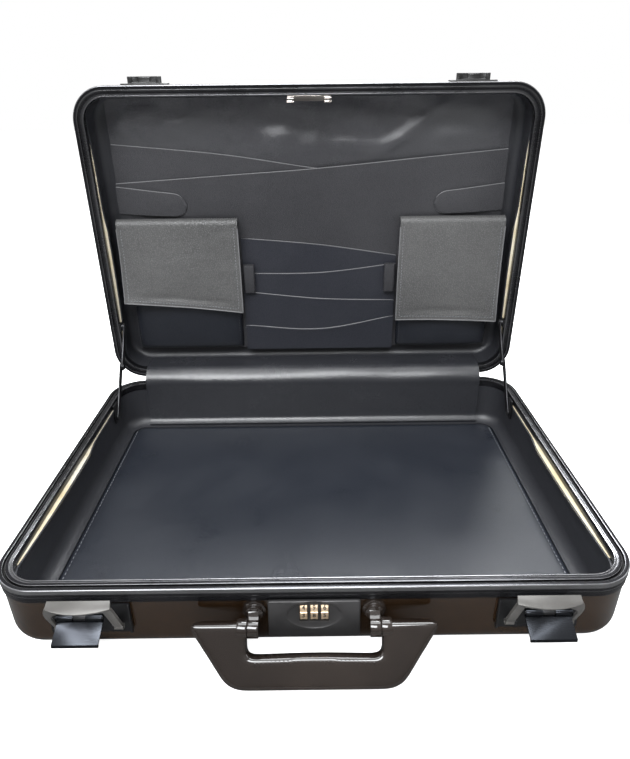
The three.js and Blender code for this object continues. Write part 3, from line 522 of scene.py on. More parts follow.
def remap(tree, value, low, high, toLow=0.0, toHigh=1.0):
    return wire(tree, "ShaderNodeMapRange", {"Value": value, "From Min": low, "From Max": high,
                                             "To Min": toLow, "To Max": toHigh}).outputs["Result"]


floatIn, vectorIn = "NodeSocketFloat", "NodeSocketVector"


def noiseOf(tree, vector, scale, detail, more=None):
    links = {"Vector": vector, "Scale": scale, "Detail": detail, **(more or {})}
    return wire(tree, "ShaderNodeTexNoise", links).outputs["Fac"]


def putOut(tree, result, values):
    for label, value in values.items():
        tree.links.new(value, result.inputs[label])


# pebbled hide: cells with creases between them, wrinkles, slow patches of tone and polish, and painted
# shade that darkens the creases
def makeLeatherGrain():
    tree, given, result = newGroup(
        "leatherGrain",
        [("Vector", vectorIn, None), ("Pebble Scale", floatIn, 900.0), ("Crease", floatIn, 0.6),
         ("Wrinkle", floatIn, 0.3), ("Patch Scale", floatIn, 14.0)],
        [("Height", floatIn), ("Tone", floatIn), ("Polish", floatIn)])
    vector = given.outputs["Vector"]
    warp = wire(tree, "ShaderNodeTexNoise", {"Vector": vector, "Scale": 260.0, "Detail": 2.0})
    small = wire(tree, "ShaderNodeVectorMath", {0: warp.outputs["Color"], 1: (0.0014, 0.0014, 0.0014)},
                 operation="MULTIPLY")
    moved = wire(tree, "ShaderNodeVectorMath", {0: vector, 1: small.outputs[0]}, operation="ADD")
    cells = wire(tree, "ShaderNodeTexVoronoi", {
        "Vector": moved.outputs[0], "Scale": given.outputs["Pebble Scale"]}, feature="DISTANCE_TO_EDGE")
    crease = remap(tree, cells.outputs["Distance"], 0.0, 0.28)
    fine = noiseOf(tree, vector, 2600.0, 3.0)
    folds = noiseOf(tree, vector, 45.0, 4.0, {"Distortion": 1.2})
    patches = noiseOf(tree, vector, given.outputs["Patch Scale"], 3.0)
    creased = combine(tree, "MULTIPLY", crease, given.outputs["Crease"])
    wrinkled = combine(tree, "MULTIPLY", folds, given.outputs["Wrinkle"])
    height = combine(tree, "ADD", combine(tree, "ADD", creased, wrinkled),
                     combine(tree, "MULTIPLY", fine, 0.25))
    # tone: darker in the creases between pebbles, a painted shade, and varying in slow random patches
    tone = weighted(tree, crease, 0.55, patches, 0.6)
    polish = weighted(tree, patches, 0.7, fine, 0.3)
    putOut(tree, result, {"Height": height, "Tone": tone, "Polish": polish})
    return tree


# lines left by rolling or brushing along X, with slow smudges over them
def makeBrushLines():
    tree, given, result = newGroup(
        "brushLines",
        [("Vector", vectorIn, None), ("Line Scale", floatIn, 1500.0), ("Smudge Scale", floatIn, 20.0)],
        [("Height", floatIn), ("Lines", floatIn), ("Smudge", floatIn)])
    stretched = wire(tree, "ShaderNodeVectorMath", {0: given.outputs["Vector"], 1: (0.03, 1.0, 1.0)},
                     operation="MULTIPLY")
    lines = noiseOf(tree, stretched.outputs[0], given.outputs["Line Scale"], 2.0)
    smudge = noiseOf(tree, given.outputs["Vector"], given.outputs["Smudge Scale"], 4.0)
    putOut(tree, result, {"Height": lines, "Lines": lines, "Smudge": remap(tree, smudge, 0.3, 0.7)})
    return tree


# orange peel of sprayed or moulded skins, faint scuffs and settled dust
def makeSoftSkin():
    tree, given, result = newGroup(
        "softSkin",
        [("Vector", vectorIn, None), ("Peel Scale", floatIn, 220.0), ("Dust", floatIn, 0.5)],
        [("Height", floatIn), ("Scuff", floatIn), ("Dust", floatIn)])
    vector = given.outputs["Vector"]
    peel = noiseOf(tree, vector, given.outputs["Peel Scale"], 1.0)
    scuffs = noiseOf(tree, vector, 9.0, 6.0, {"Roughness": 0.7})
    cells = wire(tree, "ShaderNodeTexVoronoi", {"Vector": vector, "Scale": 420.0}).outputs["Distance"]
    specks = remap(tree, cells, 0.10, 0.05)
    where = remap(tree, noiseOf(tree, vector, 30.0, 2.0), 0.55, 0.75)
    dust = combine(tree, "MULTIPLY", combine(tree, "MULTIPLY", specks, where), given.outputs["Dust"])
    putOut(tree, result, {"Height": peel, "Scuff": remap(tree, scuffs, 0.42, 0.68), "Dust": dust})
    return tree


leatherGrain, brushLines, softSkin = makeLeatherGrain(), makeBrushLines(), makeSoftSkin()
print("surface effects built")


# plain holds what is the same all over the surface
def startMaterial(name, plain):
    material = bpy.data.materials.new(name)
    material.use_nodes = True
    tree = material.node_tree
    shader = tree.nodes["Principled BSDF"]
    for socket, value in plain.items():
        shader.inputs[socket].default_value = value
    return material, tree, shader, tree.nodes.new("ShaderNodeTexCoord").outputs["Object"]


def useGroup(tree, group, coords, values):
    return wire(tree, "ShaderNodeGroup", {"Vector": coords, **values}, node_tree=group)


def blendColour(tree, mask, dark, pale):
    mix = wire(tree, "ShaderNodeMix", {"Factor": mask}, data_type="RGBA")
    mix.inputs[6].default_value = (*dark, 1)
    mix.inputs[7].default_value = (*pale, 1)
    return mix.outputs[2]


def bumped(tree, shader, height, distance):
    bump = wire(tree, "ShaderNodeBump", {"Height": height, "Distance": distance, "Strength": 1.0})
    tree.links.new(bump.outputs["Normal"], shader.inputs["Normal"])


# hide with a pebbled grain; depth is the bump's height in m
def leather(name, dark, pale, rough, pebble, crease, wrinkle, depth, polish=0.12, spec=0.5):
    material, tree, shader, coords = startMaterial(name, {"Specular IOR Level": spec})
    grain = useGroup(tree, leatherGrain, coords, {
        "Pebble Scale": pebble, "Crease": crease, "Wrinkle": wrinkle})
    tree.links.new(blendColour(tree, grain.outputs["Tone"], dark, pale), shader.inputs["Base Color"])
    tree.links.new(remap(tree, grain.outputs["Polish"], 0.3, 0.7, rough - polish, rough + polish),
                   shader.inputs["Roughness"])
    bumped(tree, shader, grain.outputs["Height"], depth)
    return material


# brushed or rolled metal
def metal(name, dark, pale, rough, metallic, lines, depth=0.00002, spread=0.1):
    material, tree, shader, coords = startMaterial(name, {"Metallic": metallic})
    brush = useGroup(tree, brushLines, coords, {"Line Scale": lines})
    tree.links.new(blendColour(tree, brush.outputs["Smudge"], dark, pale), shader.inputs["Base Color"])
    mixed = weighted(tree, brush.outputs["Lines"], 0.5, brush.outputs["Smudge"], 0.5)
    tree.links.new(remap(tree, mixed, 0.2, 0.8, rough - spread, rough + spread), shader.inputs["Roughness"])
    bumped(tree, shader, brush.outputs["Height"], depth)
    return material


# sprayed, moulded or printed finishes
def skin(name, dark, pale, rough, scuffed, peelDepth=0.00002, peelScale=220.0, dust=0.5,
         dustColour=(0.3, 0.3, 0.3), metallic=0.0, coat=0.0):
    material, tree, shader, coords = startMaterial(name, {"Metallic": metallic, "Coat Weight": coat})
    effect = useGroup(tree, softSkin, coords, {"Peel Scale": peelScale, "Dust": dust})
    colour = blendColour(tree, effect.outputs["Scuff"], dark, pale)
    dusty = wire(tree, "ShaderNodeMix", {"Factor": effect.outputs["Dust"], 6: colour}, data_type="RGBA")
    dusty.inputs[7].default_value = (*dustColour, 1)
    tree.links.new(dusty.outputs[2], shader.inputs["Base Color"])
    worn = combine(tree, "ADD", effect.outputs["Scuff"], effect.outputs["Dust"])
    tree.links.new(remap(tree, worn, 0.0, 1.0, rough, scuffed), shader.inputs["Roughness"])
    bumped(tree, shader, effect.outputs["Height"], peelDepth)
    return material


# dark and pale colour, roughness, pebbles per m, crease, wrinkle, bump height in m
floorHide = leather("floorHide", (0.0085, 0.0108, 0.0165), (0.019, 0.0225, 0.0315),
                    0.35, 1100.0, 0.55, 0.9, 0.00009, spec=0.7)
# panelHide, for the lid's upper panel, is paler than the lining leather: painted light on the top of the
# lid
panelHide = leather("panelHide", (0.036, 0.036, 0.0405), (0.072, 0.072, 0.078),
                    0.31, 900.0, 0.6, 0.8, 0.00012, spec=0.8)
# cardLeather is darker than the pockets: painted shade low in the lid
cardLeather = leather("cardLeather", (0.018, 0.0195, 0.0265), (0.04, 0.042, 0.053),
                      0.38, 850.0, 0.8, 0.7, 0.00014)
# liningLeather, on the walls of both halves, is paler than the floor's leather: painted light on the walls
liningLeather = leather("liningLeather", (0.021, 0.022, 0.026), (0.04, 0.041, 0.047),
                        0.38, 1000.0, 0.6, 0.8, 0.0001, spec=0.65)
pocketLeather = leather("pocketLeather", (0.028, 0.028, 0.0315), (0.056, 0.0555, 0.061),
                        0.42, 800.0, 0.8, 0.6, 0.00016)
pouchLeather = leather("pouchLeather", (0.011, 0.0125, 0.0175), (0.024, 0.0265, 0.034),
                       0.36, 900.0, 0.6, 0.9, 0.00014)
flapLeather = leather("flapLeather", (0.058, 0.058, 0.0585), (0.145, 0.144, 0.142),
                      0.34, 520.0, 0.8, 1.0, 0.00022, spec=0.65)
coverLeather = leather("coverLeather", (0.02, 0.021, 0.025), (0.04, 0.041, 0.047),
                       0.24, 900.0, 0.6, 0.9, 0.00009, polish=0.08, spec=0.95)
# edgeLeather: turned edges of pockets, straps and flaps, paler than the pockets for wear and for a painted
# highlight along the edges
edgeLeather = leather("edgeLeather", (0.12, 0.12, 0.125), (0.24, 0.24, 0.245),
                      0.42, 900.0, 0.4, 0.4, 0.00004)

# dark and pale colour, roughness, metallic, lines per m, bump height in m, spread of roughness
anodised = metal("anodised", (0.022, 0.022, 0.025), (0.034, 0.034, 0.038),
                 0.26, 0.75, 1800.0, 0.000001, 0.03)
# the next three are pale metals painted on the rim as light: a highlight along its inner lip, highlights
# along its small edges, and a reflection along its outer ridge
paintedLipHighlight = metal("paintedLipHighlight", (0.36, 0.36, 0.38), (0.5, 0.5, 0.52),
                     0.24, 1.0, 1600.0, 0.000001, 0.05)
paintedEdgeHighlight = metal("paintedEdgeHighlight", (0.22, 0.22, 0.23), (0.32, 0.32, 0.33), 0.28, 1.0, 1600.0, 0.000001, 0.04)
paintedRidgeHighlight = metal("paintedRidgeHighlight", (0.2, 0.2, 0.205), (0.3, 0.3, 0.305), 0.32, 0.9, 1700.0, 0.000001, 0.05)
darkSteel = metal("darkSteel", (0.03, 0.03, 0.032), (0.06, 0.06, 0.063), 0.32, 0.8, 2200.0)
gunmetal = metal("gunmetal", (0.035, 0.038, 0.044), (0.06, 0.064, 0.073),
                 0.25, 1.0, 2600.0, 0.000006, 0.05)
brightSteel = metal("brightSteel", (0.42, 0.42, 0.42), (0.6, 0.6, 0.6), 0.25, 1.0, 2600.0)
nickel = metal("nickel", (0.62, 0.56, 0.52), (0.8, 0.75, 0.7), 0.17, 1.0, 2600.0, 0.00001, 0.07)
strikeMetal = metal("strikeMetal", (0.05, 0.05, 0.05), (0.1, 0.1, 0.1), 0.3, 0.9, 2000.0)
dialGold = metal("dialGold", (0.62, 0.42, 0.26), (0.85, 0.66, 0.46), 0.34, 0.75, 3500.0)

# dark and pale colour, roughness, roughness where scuffed, bump height in m, peel per m, dust
lacquer = skin("lacquer", (0.0165, 0.0085, 0.0037), (0.025, 0.0135, 0.0066),
               0.12, 0.22, 0.000002, 60.0, 0.05, coat=1.0)
rubber = skin("rubber", (0.006, 0.006, 0.006), (0.012, 0.012, 0.012), 0.62, 0.8, 0.00003, 700.0, 0.8)
lockGrey = skin("lockGrey", (0.075, 0.073, 0.074), (0.095, 0.093, 0.094),
                0.30, 0.42, 0.000012, 900.0, 0.5, metallic=0.6)
lockBlack = skin("lockBlack", (0.008, 0.008, 0.009), (0.014, 0.014, 0.015),
                 0.45, 0.6, 0.00002, 500.0, 0.3)
enamel = skin("enamel", (0.09, 0.086, 0.081), (0.13, 0.125, 0.118),
              0.28, 0.42, 0.000015, 600.0, 0.3, (0.1, 0.1, 0.1), metallic=0.3)
digitInk = skin("digitInk", (0.01, 0.01, 0.01), (0.02, 0.02, 0.02), 0.5, 0.6)
gripPlastic = skin("gripPlastic", (0.016, 0.012, 0.010), (0.026, 0.0195, 0.016),
                   0.08, 0.16, 0.000006, 90.0, 0.4, coat=1.0)
thread = skin("thread", (0.05, 0.052, 0.06), (0.09, 0.093, 0.102), 0.6, 0.8, 0.00004, 3000.0, 0.0)
paleThread = skin("paleThread", (0.2, 0.21, 0.23), (0.34, 0.35, 0.37), 0.6, 0.8, 0.00004, 3000.0, 0.0)


def makeCream():
    material, tree, shader, coords = startMaterial("creamBoard", {"Specular IOR Level": 0.2})
    along = wire(tree, "ShaderNodeVectorMath", {0: coords, 1: (1.0, 0.12, 1.0)}, operation="MULTIPLY")
    fibres = noiseOf(tree, along.outputs[0], 900.0, 4.0)
    stains = noiseOf(tree, coords, 26.0, 4.0)
    mask = weighted(tree, fibres, 0.4, stains, 0.7)
    tree.links.new(blendColour(tree, remap(tree, mask, 0.35, 0.75), (0.62, 0.5, 0.28), (0.86, 0.82, 0.7)),
                   shader.inputs["Base Color"])
    tree.links.new(remap(tree, fibres, 0.3, 0.7, 0.6, 0.8), shader.inputs["Roughness"])
    bumped(tree, shader, fibres, 0.00008)
    return material


creamBoard = makeCream()
print("materials made")


def wallInset(depth):
    return case["shellInset"] + math.tan(case["draft"]) * max(depth - case["skirtDepth"], 0)


# the quarter turn from a wall into a floor
def bend(inset, depth, across, deep, steps):
    return [(inset - across * math.cos(math.radians(90 * i / steps)),
             depth + deep * math.sin(math.radians(90 * i / steps))) for i in range(steps + 1)]


def shellProfile(height):
    edge = case["edgeRadius"]
    arcTop = height - edge
    arcInset = wallInset(arcTop) + edge
    outer, inner = [], []
    for depth in (case["underRim"], case["skirtDepth"], (case["skirtDepth"] + arcTop) / 2):
        if depth < arcTop:
            outer.append((wallInset(depth), depth))
            inner.append((wallInset(depth) + case["wall"], depth))
    outer += bend(arcInset, arcTop, edge, edge, case["edgeSteps"])
    small = edge - case["wall"]
    inner += bend(arcInset, arcTop, small, small, case["edgeSteps"])
    return outer[::-1] + inner


def makeShells():
    base = sweep("baseShell", shellProfile(case["baseHeight"]), inBase, lacquer, False)
    lockBack = boxOf("lock_case")[0].y + 2
    lockFront = boxOf("lock_plate")[0].y - 1
    low, high = boxOf("dial_1")[0], boxOf("dial_3")[1]
    margin = case["dialMargin"]
    cutWith(base, Vector((low.x - margin, lockFront, low.z - margin)),
            Vector((high.x + margin, lockBack, high.z + margin)))
    lid = sweep("lidShell", shellProfile(case["lidHeight"]), inLid, lacquer, False)
    settle(base, "base", "shell", "base_shell")
    settle(lid, "lid", "shell", "lid_shell")


rim = {
    "width": 10,
    "chamfer": 0.6,
    "ridge": 3.4,           # the band along the outer edge that carries a painted reflection
    "skirtTop": 6,
    "step": 0.5,
    "slot": 1.1,            # the slot that holds the shell's sheet
    "slotDepth": 4,
    "webs": (3.2, 4.6),
    "webDepth": 8,
    "backDepth": 5,
    "lipDepth": 7,
    "sealOuter": 3.3,
    "sealInner": 5.1,
    "sealDepth": 3,
    "tongue": 1.3,          # the lid's tongue that meets the seal
    "trimOuter": 7.7,
    "trimInner": 9,
    "trimDepth": 1.2,
    "edge": 0.35,
    "seal": [(3.6, 2.7), (4.8, 2.7), (4.8, 2.0), (4.2, 1.6), (3.6, 2.0)],
}


def rimProfile(isLid):
    r = rim
    skirt, back, lip, trim = case["skirtDepth"], r["backDepth"], r["lipDepth"], r["trimDepth"]
    outer, inner = r["webs"]
    body = [
        (r["chamfer"], 0), (0, r["chamfer"]), (0, r["ridge"]), (0, r["skirtTop"]),
        (r["step"], r["skirtTop"] + r["step"]), (r["step"], skirt),
        (r["slot"], skirt), (r["slot"], r["slotDepth"]), (outer, r["slotDepth"]), (outer, r["webDepth"]),
        (inner, r["webDepth"]), (inner, back), (r["trimInner"], back), (r["trimInner"], lip),
        (r["width"], lip), (r["width"], 0), (r["trimInner"], 0), (r["trimInner"], trim),
        (r["trimOuter"], trim), (r["trimOuter"], 0), (r["sealInner"], 0),
    ]
    if not isLid:
        deep = r["sealDepth"]
        return body + [(r["sealInner"], deep), (r["sealOuter"], deep), (r["sealOuter"], 0)]
    middle, half = (r["sealOuter"] + r["sealInner"]) / 2, (r["sealInner"] - r["sealOuter"]) / 4
    return body + [(r["sealInner"], trim), (middle + half, trim), (middle + half, -r["tongue"]),
                   (middle - half, -r["tongue"]), (middle - half, trim), (r["sealOuter"], trim),
                   (r["sealOuter"], 0)]


# the anodised finish, then the pale metals that paint highlights and a reflection on the rim
rimFinishesAndHighlights = [anodised, paintedLipHighlight, paintedEdgeHighlight, paintedRidgeHighlight]


# which finish the strip between two profile points has, by its place in the rim's list of paints; 1 is a
# painted highlight on the inner lip, 2 painted highlights on the small edges, 3 a painted reflection along
# the outer ridge
def rimFinish(a, b):
    inset, depth = (a + b) / 2
    if inset > rim["width"] - 0.5 and depth < 0.8:
        return 1
    if inset < 0.2 and depth < 3.5:
        return 3
    isEdge = (a - b).length < 0.9 and depth < 8.2 and (depth < 1.6 or inset < 1)
    return 2 if isEdge else 0


def makeRims():
    for name, node, body, place, isLid in (("baseRim", "base_frame", "base", inBase, False),
                                           ("lidRim", "lid_frame", "lid", inLid, True)):
        profile = [Vector(p) for p in rounded(rimProfile(isLid), rim["edge"], 2)]
        finishes = [rimFinish(p, profile[(i + 1) % len(profile)]) for i, p in enumerate(profile)]
        piece = sweep(name, profile, place, rimFinishesAndHighlights, True, faceMaterial=lambda i: finishes[i])
        settle(piece, body, "rim", node)
    seal = rounded(rim["seal"], 0.15, 1)
    settle(sweep("rimSeal", seal, inBase, rubber, True), "base", "seal", "rim_gasket")


makeShells()
makeRims()
print("shells and rims made")


lining = {
    "inset": 8,
    "top": 7.6,
    "thick": 1.6,
    "baseRadius": 12,
    "lidRadius": 8.5,
    "baseFloor": 52.5,
    "lidFloor": 36.2,
    "lidPad": 2.6,
    "bow": 5.2,             # how far the sides bow in from the rim
    "lidBow": 0.8,          # the lid's share of that
    "bowDepth": 13,
    "bowMiddle": -14,
    "bowHalf": 142,
    "stayRoom": 2.3,        # the most they bow beside a folded stay
    "stayFrom": 40,
    "stayBlend": 26,
    "ripple": 0.5,
    "rippleFrom": 12,
    "lockGap": 0.3,
    "turnSteps": 8,
}


def sideBow(x, y, depth, sideX, strength):
    if abs(x) < sideX:
        return 0
    along = abs(y - lining["bowMiddle"]) / lining["bowHalf"]
    if along >= 1 or depth > lining["top"] + lining["bowDepth"]:
        return 0
    fall = 1 - max(depth - lining["top"], 0) / lining["bowDepth"]
    bow = strength * math.cos(along * math.pi / 2) ** 0.8
    near = min(max((y - lining["stayFrom"] + lining["stayBlend"]) / lining["stayBlend"], 0), 1)
    near = near * near * (3 - 2 * near)
    return (bow * (1 - near) + min(bow, lining["stayRoom"]) * near) * fall ** 1.6


def ripple(x, y, depth, amount):
    return amount * (noise.noise(Vector((x / 34, y / 34, depth / 20))) - 0.1)


# a wall that turns into a floor: its outer points, then its inner ones
def liningProfile(floor, radius, wallSteps, innerDeep):
    top, inset, thick = lining["top"], lining["inset"], lining["thick"]
    arcTop = floor - radius
    depths = [top + (arcTop - top) * i / wallSteps for i in range(wallSteps)]
    steps = lining["turnSteps"]
    outer = [(inset, d) for d in depths] + bend(inset + radius, arcTop, radius, radius, steps)
    inner = [(inset + thick, d) for d in depths]
    inner += bend(inset + radius, arcTop, radius - thick, innerDeep, steps)
    return outer[::-1] + inner


def makeBaseLining():
    radius = lining["baseRadius"]
    profile = liningProfile(lining["baseFloor"], radius, 9, radius - lining["thick"])

    def shift(x, y, inset, depth):
        bow = sideBow(x, y, depth, halfWidth - 20, lining["bow"])
        wave = ripple(x, y, depth, lining["ripple"]) if depth > lining["rippleFrom"] else 0
        inward = -math.copysign(bow + max(wave, 0) * 0.6, x) if abs(x) > halfWidth - 25 else 0
        backward = -max(wave, 0) * 0.8 if abs(y) > halfDepth - 25 else 0
        return inward, math.copysign(1, y) * backward, 0
    piece = sweep("baseWallLeather", profile, inBase, liningLeather, True, shift, 50)
    low, high = boxOf("lock_case")
    gap = lining["lockGap"]
    cutWith(piece, Vector((low.x - gap, -halfDepth, low.z - gap)),
            Vector((high.x + gap, high.y + 0.4, rimZ)))
    settle(piece, "base", "lining_leather", "base_lining")


floorPanel = {"columns": 72, "rows": 52, "corner": 12.7, "edge": 1.4, "edgeWidth": 3.0, "crown": 0.5,
              "underside": 1.6}


# points spread so that they lie closer near both ends
def towardsEnds(t, power):
    return math.copysign(1 - (1 - abs(t)) ** power, t)


def makeFloorPanel():
    low, high = boxOf("base_floor_panel")
    columns, rows, corner = floorPanel["columns"], floorPanel["rows"], floorPanel["corner"]
    grid = []
    for r in range(rows + 1):
        row = []
        for c in range(columns + 1):
            x = towardsEnds(2 * c / columns - 1, 1.25) * high.x
            y = towardsEnds(2 * r / rows - 1, 1.25) * high.y
            over = Vector((max(abs(x) - (high.x - corner), 0), max(abs(y) - (high.y - corner), 0)))
            if over.x and over.y:       # the grid's square corner pulled onto the round one
                m = max(over.x, over.y) / over.length
                x = math.copysign(high.x - corner + over.x * m, x)
                y = math.copysign(high.y - corner + over.y * m, y)
                inside = corner - (over * m).length
            else:
                inside = min(high.x - abs(x), high.y - abs(y))
            drop = floorPanel["edge"] * (1 - min(inside / floorPanel["edgeWidth"], 1)) ** 2.2
            swell = noise.noise(Vector((x / 70, y / 70, 3))) - 0.3
            crown = floorPanel["crown"] * swell * min(inside / 30, 1)
            row.append(Vector((x, y, high.z - drop + min(crown, 0))) * mm)
        grid.append(row)
    piece = gridPiece("floorLeather", grid, floorHide, thick=high.z - low.z - floorPanel["underside"],
                      smoothAngle=60)
    settle(piece, "base", "lining_leather", "base_floor_panel")


def makeLidLining():
    floor, pad, radius = lining["lidFloor"], lining["lidPad"], lining["lidRadius"]
    profile = liningProfile(floor, radius, 7, radius - pad)
    profile += [(inset, floor - pad) for inset in (24, 34, 60, 100, 140)]

    def shift(x, y, inset, depth):
        bow = sideBow(x, -y, depth, halfWidth - 20, lining["bow"] * lining["lidBow"])
        return -math.copysign(bow, x), 0, 0
    piece = sweep("lidLeather", profile, inLid, liningLeather, False, shift, 50)
    settle(piece, "lid", "lining_leather", "lid_lining")


board = {"half": 123, "steps": 48, "face": 5.4, "fray": 0.25, "baseDepth": 30, "lidDepth": 21, "thick": 0.9}


# cream backing that shows between each side's rim and the bowed edge of the leather
def makeSideBoards():
    for half, place, turn, share in (("base", inBase, 1, 1), ("lid", inLid, -1, lining["lidBow"])):
        for side, sign in (("left", -1), ("right", 1)):
            rows = []
            outer = halfWidth - board["face"]
            for i in range(board["steps"] + 1):
                y = -board["half"] + 2 * board["half"] * i / board["steps"]
                bow = sideBow(halfWidth, y * turn, lining["top"], halfWidth - 20, lining["bow"] * share)
                inner = halfWidth - lining["inset"] - bow - 0.2
                fray = board["fray"] * noise.noise(Vector((y / 5, sign * 9, 1)))
                section = [(outer + 0.2, board[half + "Depth"]), (outer, 12.0), (outer - 1.4, 8.2 + fray),
                           ((outer + inner) / 2, 7.7 + fray), (inner + 0.6, 8.2 + fray), (inner, 9.4)]
                rows.append([place(sign * x, y, depth) for x, depth in section])
            piece = gridPiece(half + "SideBoard" + side.capitalize(), rows, creamBoard,
                              thick=board["thick"], offset=1, smoothAngle=60)
            settle(piece, half, "board", f"{half}_board_{side}")


organiser = {"floorDepth": lining["lidFloor"] - lining["lidPad"] - 0.3}
makeBaseLining()
makeFloorPanel()
makeLidLining()
makeSideBoards()
print("linings made")


cover = {
    "halfLength": 190,
    "thick": 1.3,
    "wallY": 143.3,
    "wall": ((143.6, 23), (143.4, 29), (143.3, 34.6), (143.3, 40), (143.3, 45), (143.3, 50), (143.3, 54)),
    "footRadius": 8.7,
    "footY": 135,
    "footZ": 17.5,
    "bulgeBase": (-2.2, 9),     # how the strip leaves each half over the gap
    "bulgeLid": (-8.5, 1.2),
    "lidDepths": (2.5, 6, 10, 15, 19, 23.0),
    "blendFrom": 53,
    "wave": 1.1,
    "columns": 120,
}


def coverPath():
    radius = cover["footRadius"]
    path = []
    for angle in range(78, -1, -13):
        a = math.radians(angle)
        y, z = cover["footY"] + radius * math.cos(a), cover["footZ"] - radius * math.sin(a)
        path.append(Vector((0, y, z)))
    path += [Vector((0, y, z)) for y, z in cover["wall"]]
    onLid = [inLid(0, cover["wallY"], d) / mm for d in cover["lidDepths"]]
    a, b = path[-1], onLid[0]
    handleA, handleB = a + Vector((0, *cover["bulgeBase"])), b + Vector((0, *cover["bulgeLid"]))
    for i in range(1, 14):
        t = i / 14
        path.append(a * (1 - t) ** 3 + handleA * 3 * t * (1 - t) ** 2
                    + handleB * 3 * t * t * (1 - t) + b * t ** 3)
    return path + onLid, b


def makeHingeCover():
    path, lidStart = coverPath()
    rows = []
    for i, p in enumerate(path):
        roll = math.sin(math.pi * min(max((i - 12) / (len(path) - 16), 0), 1))
        row = []
        for c in range(cover["columns"] + 1):
            x = cover["halfLength"] * (2 * c / cover["columns"] - 1)
            wave = cover["wave"] * roll * noise.noise(Vector((x / 60, i / 9, 5)))
            row.append((p + Vector((x, -wave, wave * 0.6))) * mm)
        rows.append(row)
    piece = gridPiece("hingeCoverLeather", rows, coverLeather, cover["thick"], offset=1, smoothAngle=70)
    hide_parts("hinge_cover_base", "hinge_cover_lid")
    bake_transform(piece)
    length = sum((path[i + 1] - path[i]).length for i in range(len(path) - 1)) * mm
    return length


coverLength = makeHingeCover()
print("hinge cover made, strip", round(coverLength, 4))


organiser.update({
    "panelHalf": 203, "start": 26, "rearOut": 2.0, "frontOut": 4.0, "panelThick": 1.3,
    "rearEdge": ((-203, 256), (-90, 245), (9, 230), (110, 217), (203, 206)),
    "frontEdge": ((-203, 217), (-90, 224.5), (9, 231), (110, 240), (203, 248)),
    "cardEdges": (((-76, 158), (10, 150.0), (93, 137)), ((-76, 118), (10, 118.5), (93, 128)),
                  ((-76, 97), (10, 88), (93, 85)), ((-76, 56), (10, 51), (93, 66))),
    "cardStep": 1.4,
    "seamBelow": 2.6,       # stitches under a pocket's lip
})


# a smooth line through the points, by their x
def alongCurve(points, x):
    for i in range(len(points) - 1):
        (x0, r0), (x1, r1) = points[i], points[i + 1]
        if x <= x1 or i == len(points) - 2:
            slopes = []
            for k in (i, i + 1):
                lo, hi = points[max(k - 1, 0)], points[min(k + 1, len(points) - 1)]
                slopes.append((hi[1] - lo[1]) / (hi[0] - lo[0]))
            h = x1 - x0
            t = min(max((x - x0) / h, 0), 1)
            return (r0 * (2 * t ** 3 - 3 * t ** 2 + 1) + slopes[0] * h * (t ** 3 - 2 * t ** 2 + t)
                    + r1 * (3 * t ** 2 - 2 * t ** 3) + slopes[1] * h * (t ** 3 - t ** 2))


stitchLines = []        # lines on the organiser, filled by each piece as it is made
edgeBeads = []
outwards = (onOrganiser(0, 0, 1) - onOrganiser(0, 0, 0)).normalized()


# a flat pocket with its lip along the edge's curve; out is its height off the lid's floor
def openPocket(name, edge, x0, x1, out, sag, seed, material, columns=90, rows=40):
    grid = []
    for r in range(rows + 1):
        v = (r / rows) ** 0.8
        row = []
        for c in range(columns + 1):
            x = x0 + (x1 - x0) * c / columns
            top = alongCurve(edge, x)
            reach = organiser["start"] + (top - organiser["start"]) * v
            free = math.sin(math.pi * c / columns) * v ** 4
            wave = 0.5 * noise.noise(Vector((x / 55, reach / 40, seed))) * math.sin(math.pi * c / columns)
            row.append(onOrganiser(x, reach, out + sag * free + max(wave, -0.2) * v))
        grid.append(row)
    piece = gridPiece(name, grid, material, thick=organiser["panelThick"], smoothAngle=60)
    edgeBeads.append([p - outwards * organiser["panelThick"] * 0.5 * mm for p in grid[-1]])
    down = (onOrganiser(0, 0, 0) - onOrganiser(0, 1, 0)).normalized()
    stitchLines.append([p + down * organiser["seamBelow"] * mm + outwards * 0.05 * mm for p in grid[-1]])
    return piece, grid


def gridArea(grid):
    total = 0
    for r in range(len(grid) - 1):
        for c in range(len(grid[0]) - 1):
            a, b, d = grid[r][c], grid[r][c + 1], grid[r + 1][c]
            total += (b - a).cross(d - a).length
    return total


def makeDocumentPockets():
    half = organiser["panelHalf"]
    for where, sag in (("rear", 0.6), ("front", 2.4)):
        name = where + "PocketLeather"
        piece, grid = openPocket(name, organiser[where + "Edge"], -half, half,
                                 organiser[where + "Out"], sag, len(name), pocketLeather)
        settle(piece, "lid", "pocket_leather", "document_pocket_" + where)


def makeCardPockets():
    pieces, area = [], 0
    for i, edge in enumerate(organiser["cardEdges"]):
        out = organiser["frontOut"] + 0.3 + organiser["cardStep"] * (i + 1)
        piece, grid = openPocket(f"cardLayer{i}", edge, edge[0][0], edge[-1][0], out, 1.2, i * 3.1,
                                 cardLeather, 44, 20)
        pieces.append(piece)
        area += gridArea(grid)
    piece = joined("cardPocketLeather", pieces, 60)
    settle(piece, "lid", "pocket_leather", "card_pockets")


panel = {
    "half": 203.5,
    "low": 28,
    "top": 299.5,
    "columns": 100,
    "rows": 72,
    "thick": 0.9,
    "rise": 2.2,
    "wave": 4.2,
    "fold": 3.4,
    "foldAt": (95, 262),        # a slanting fold, by x and distance from the hinge
    "foldSlant": 1.25,
    "foldWidth": 9,
    "seamIn": 1.6,
}


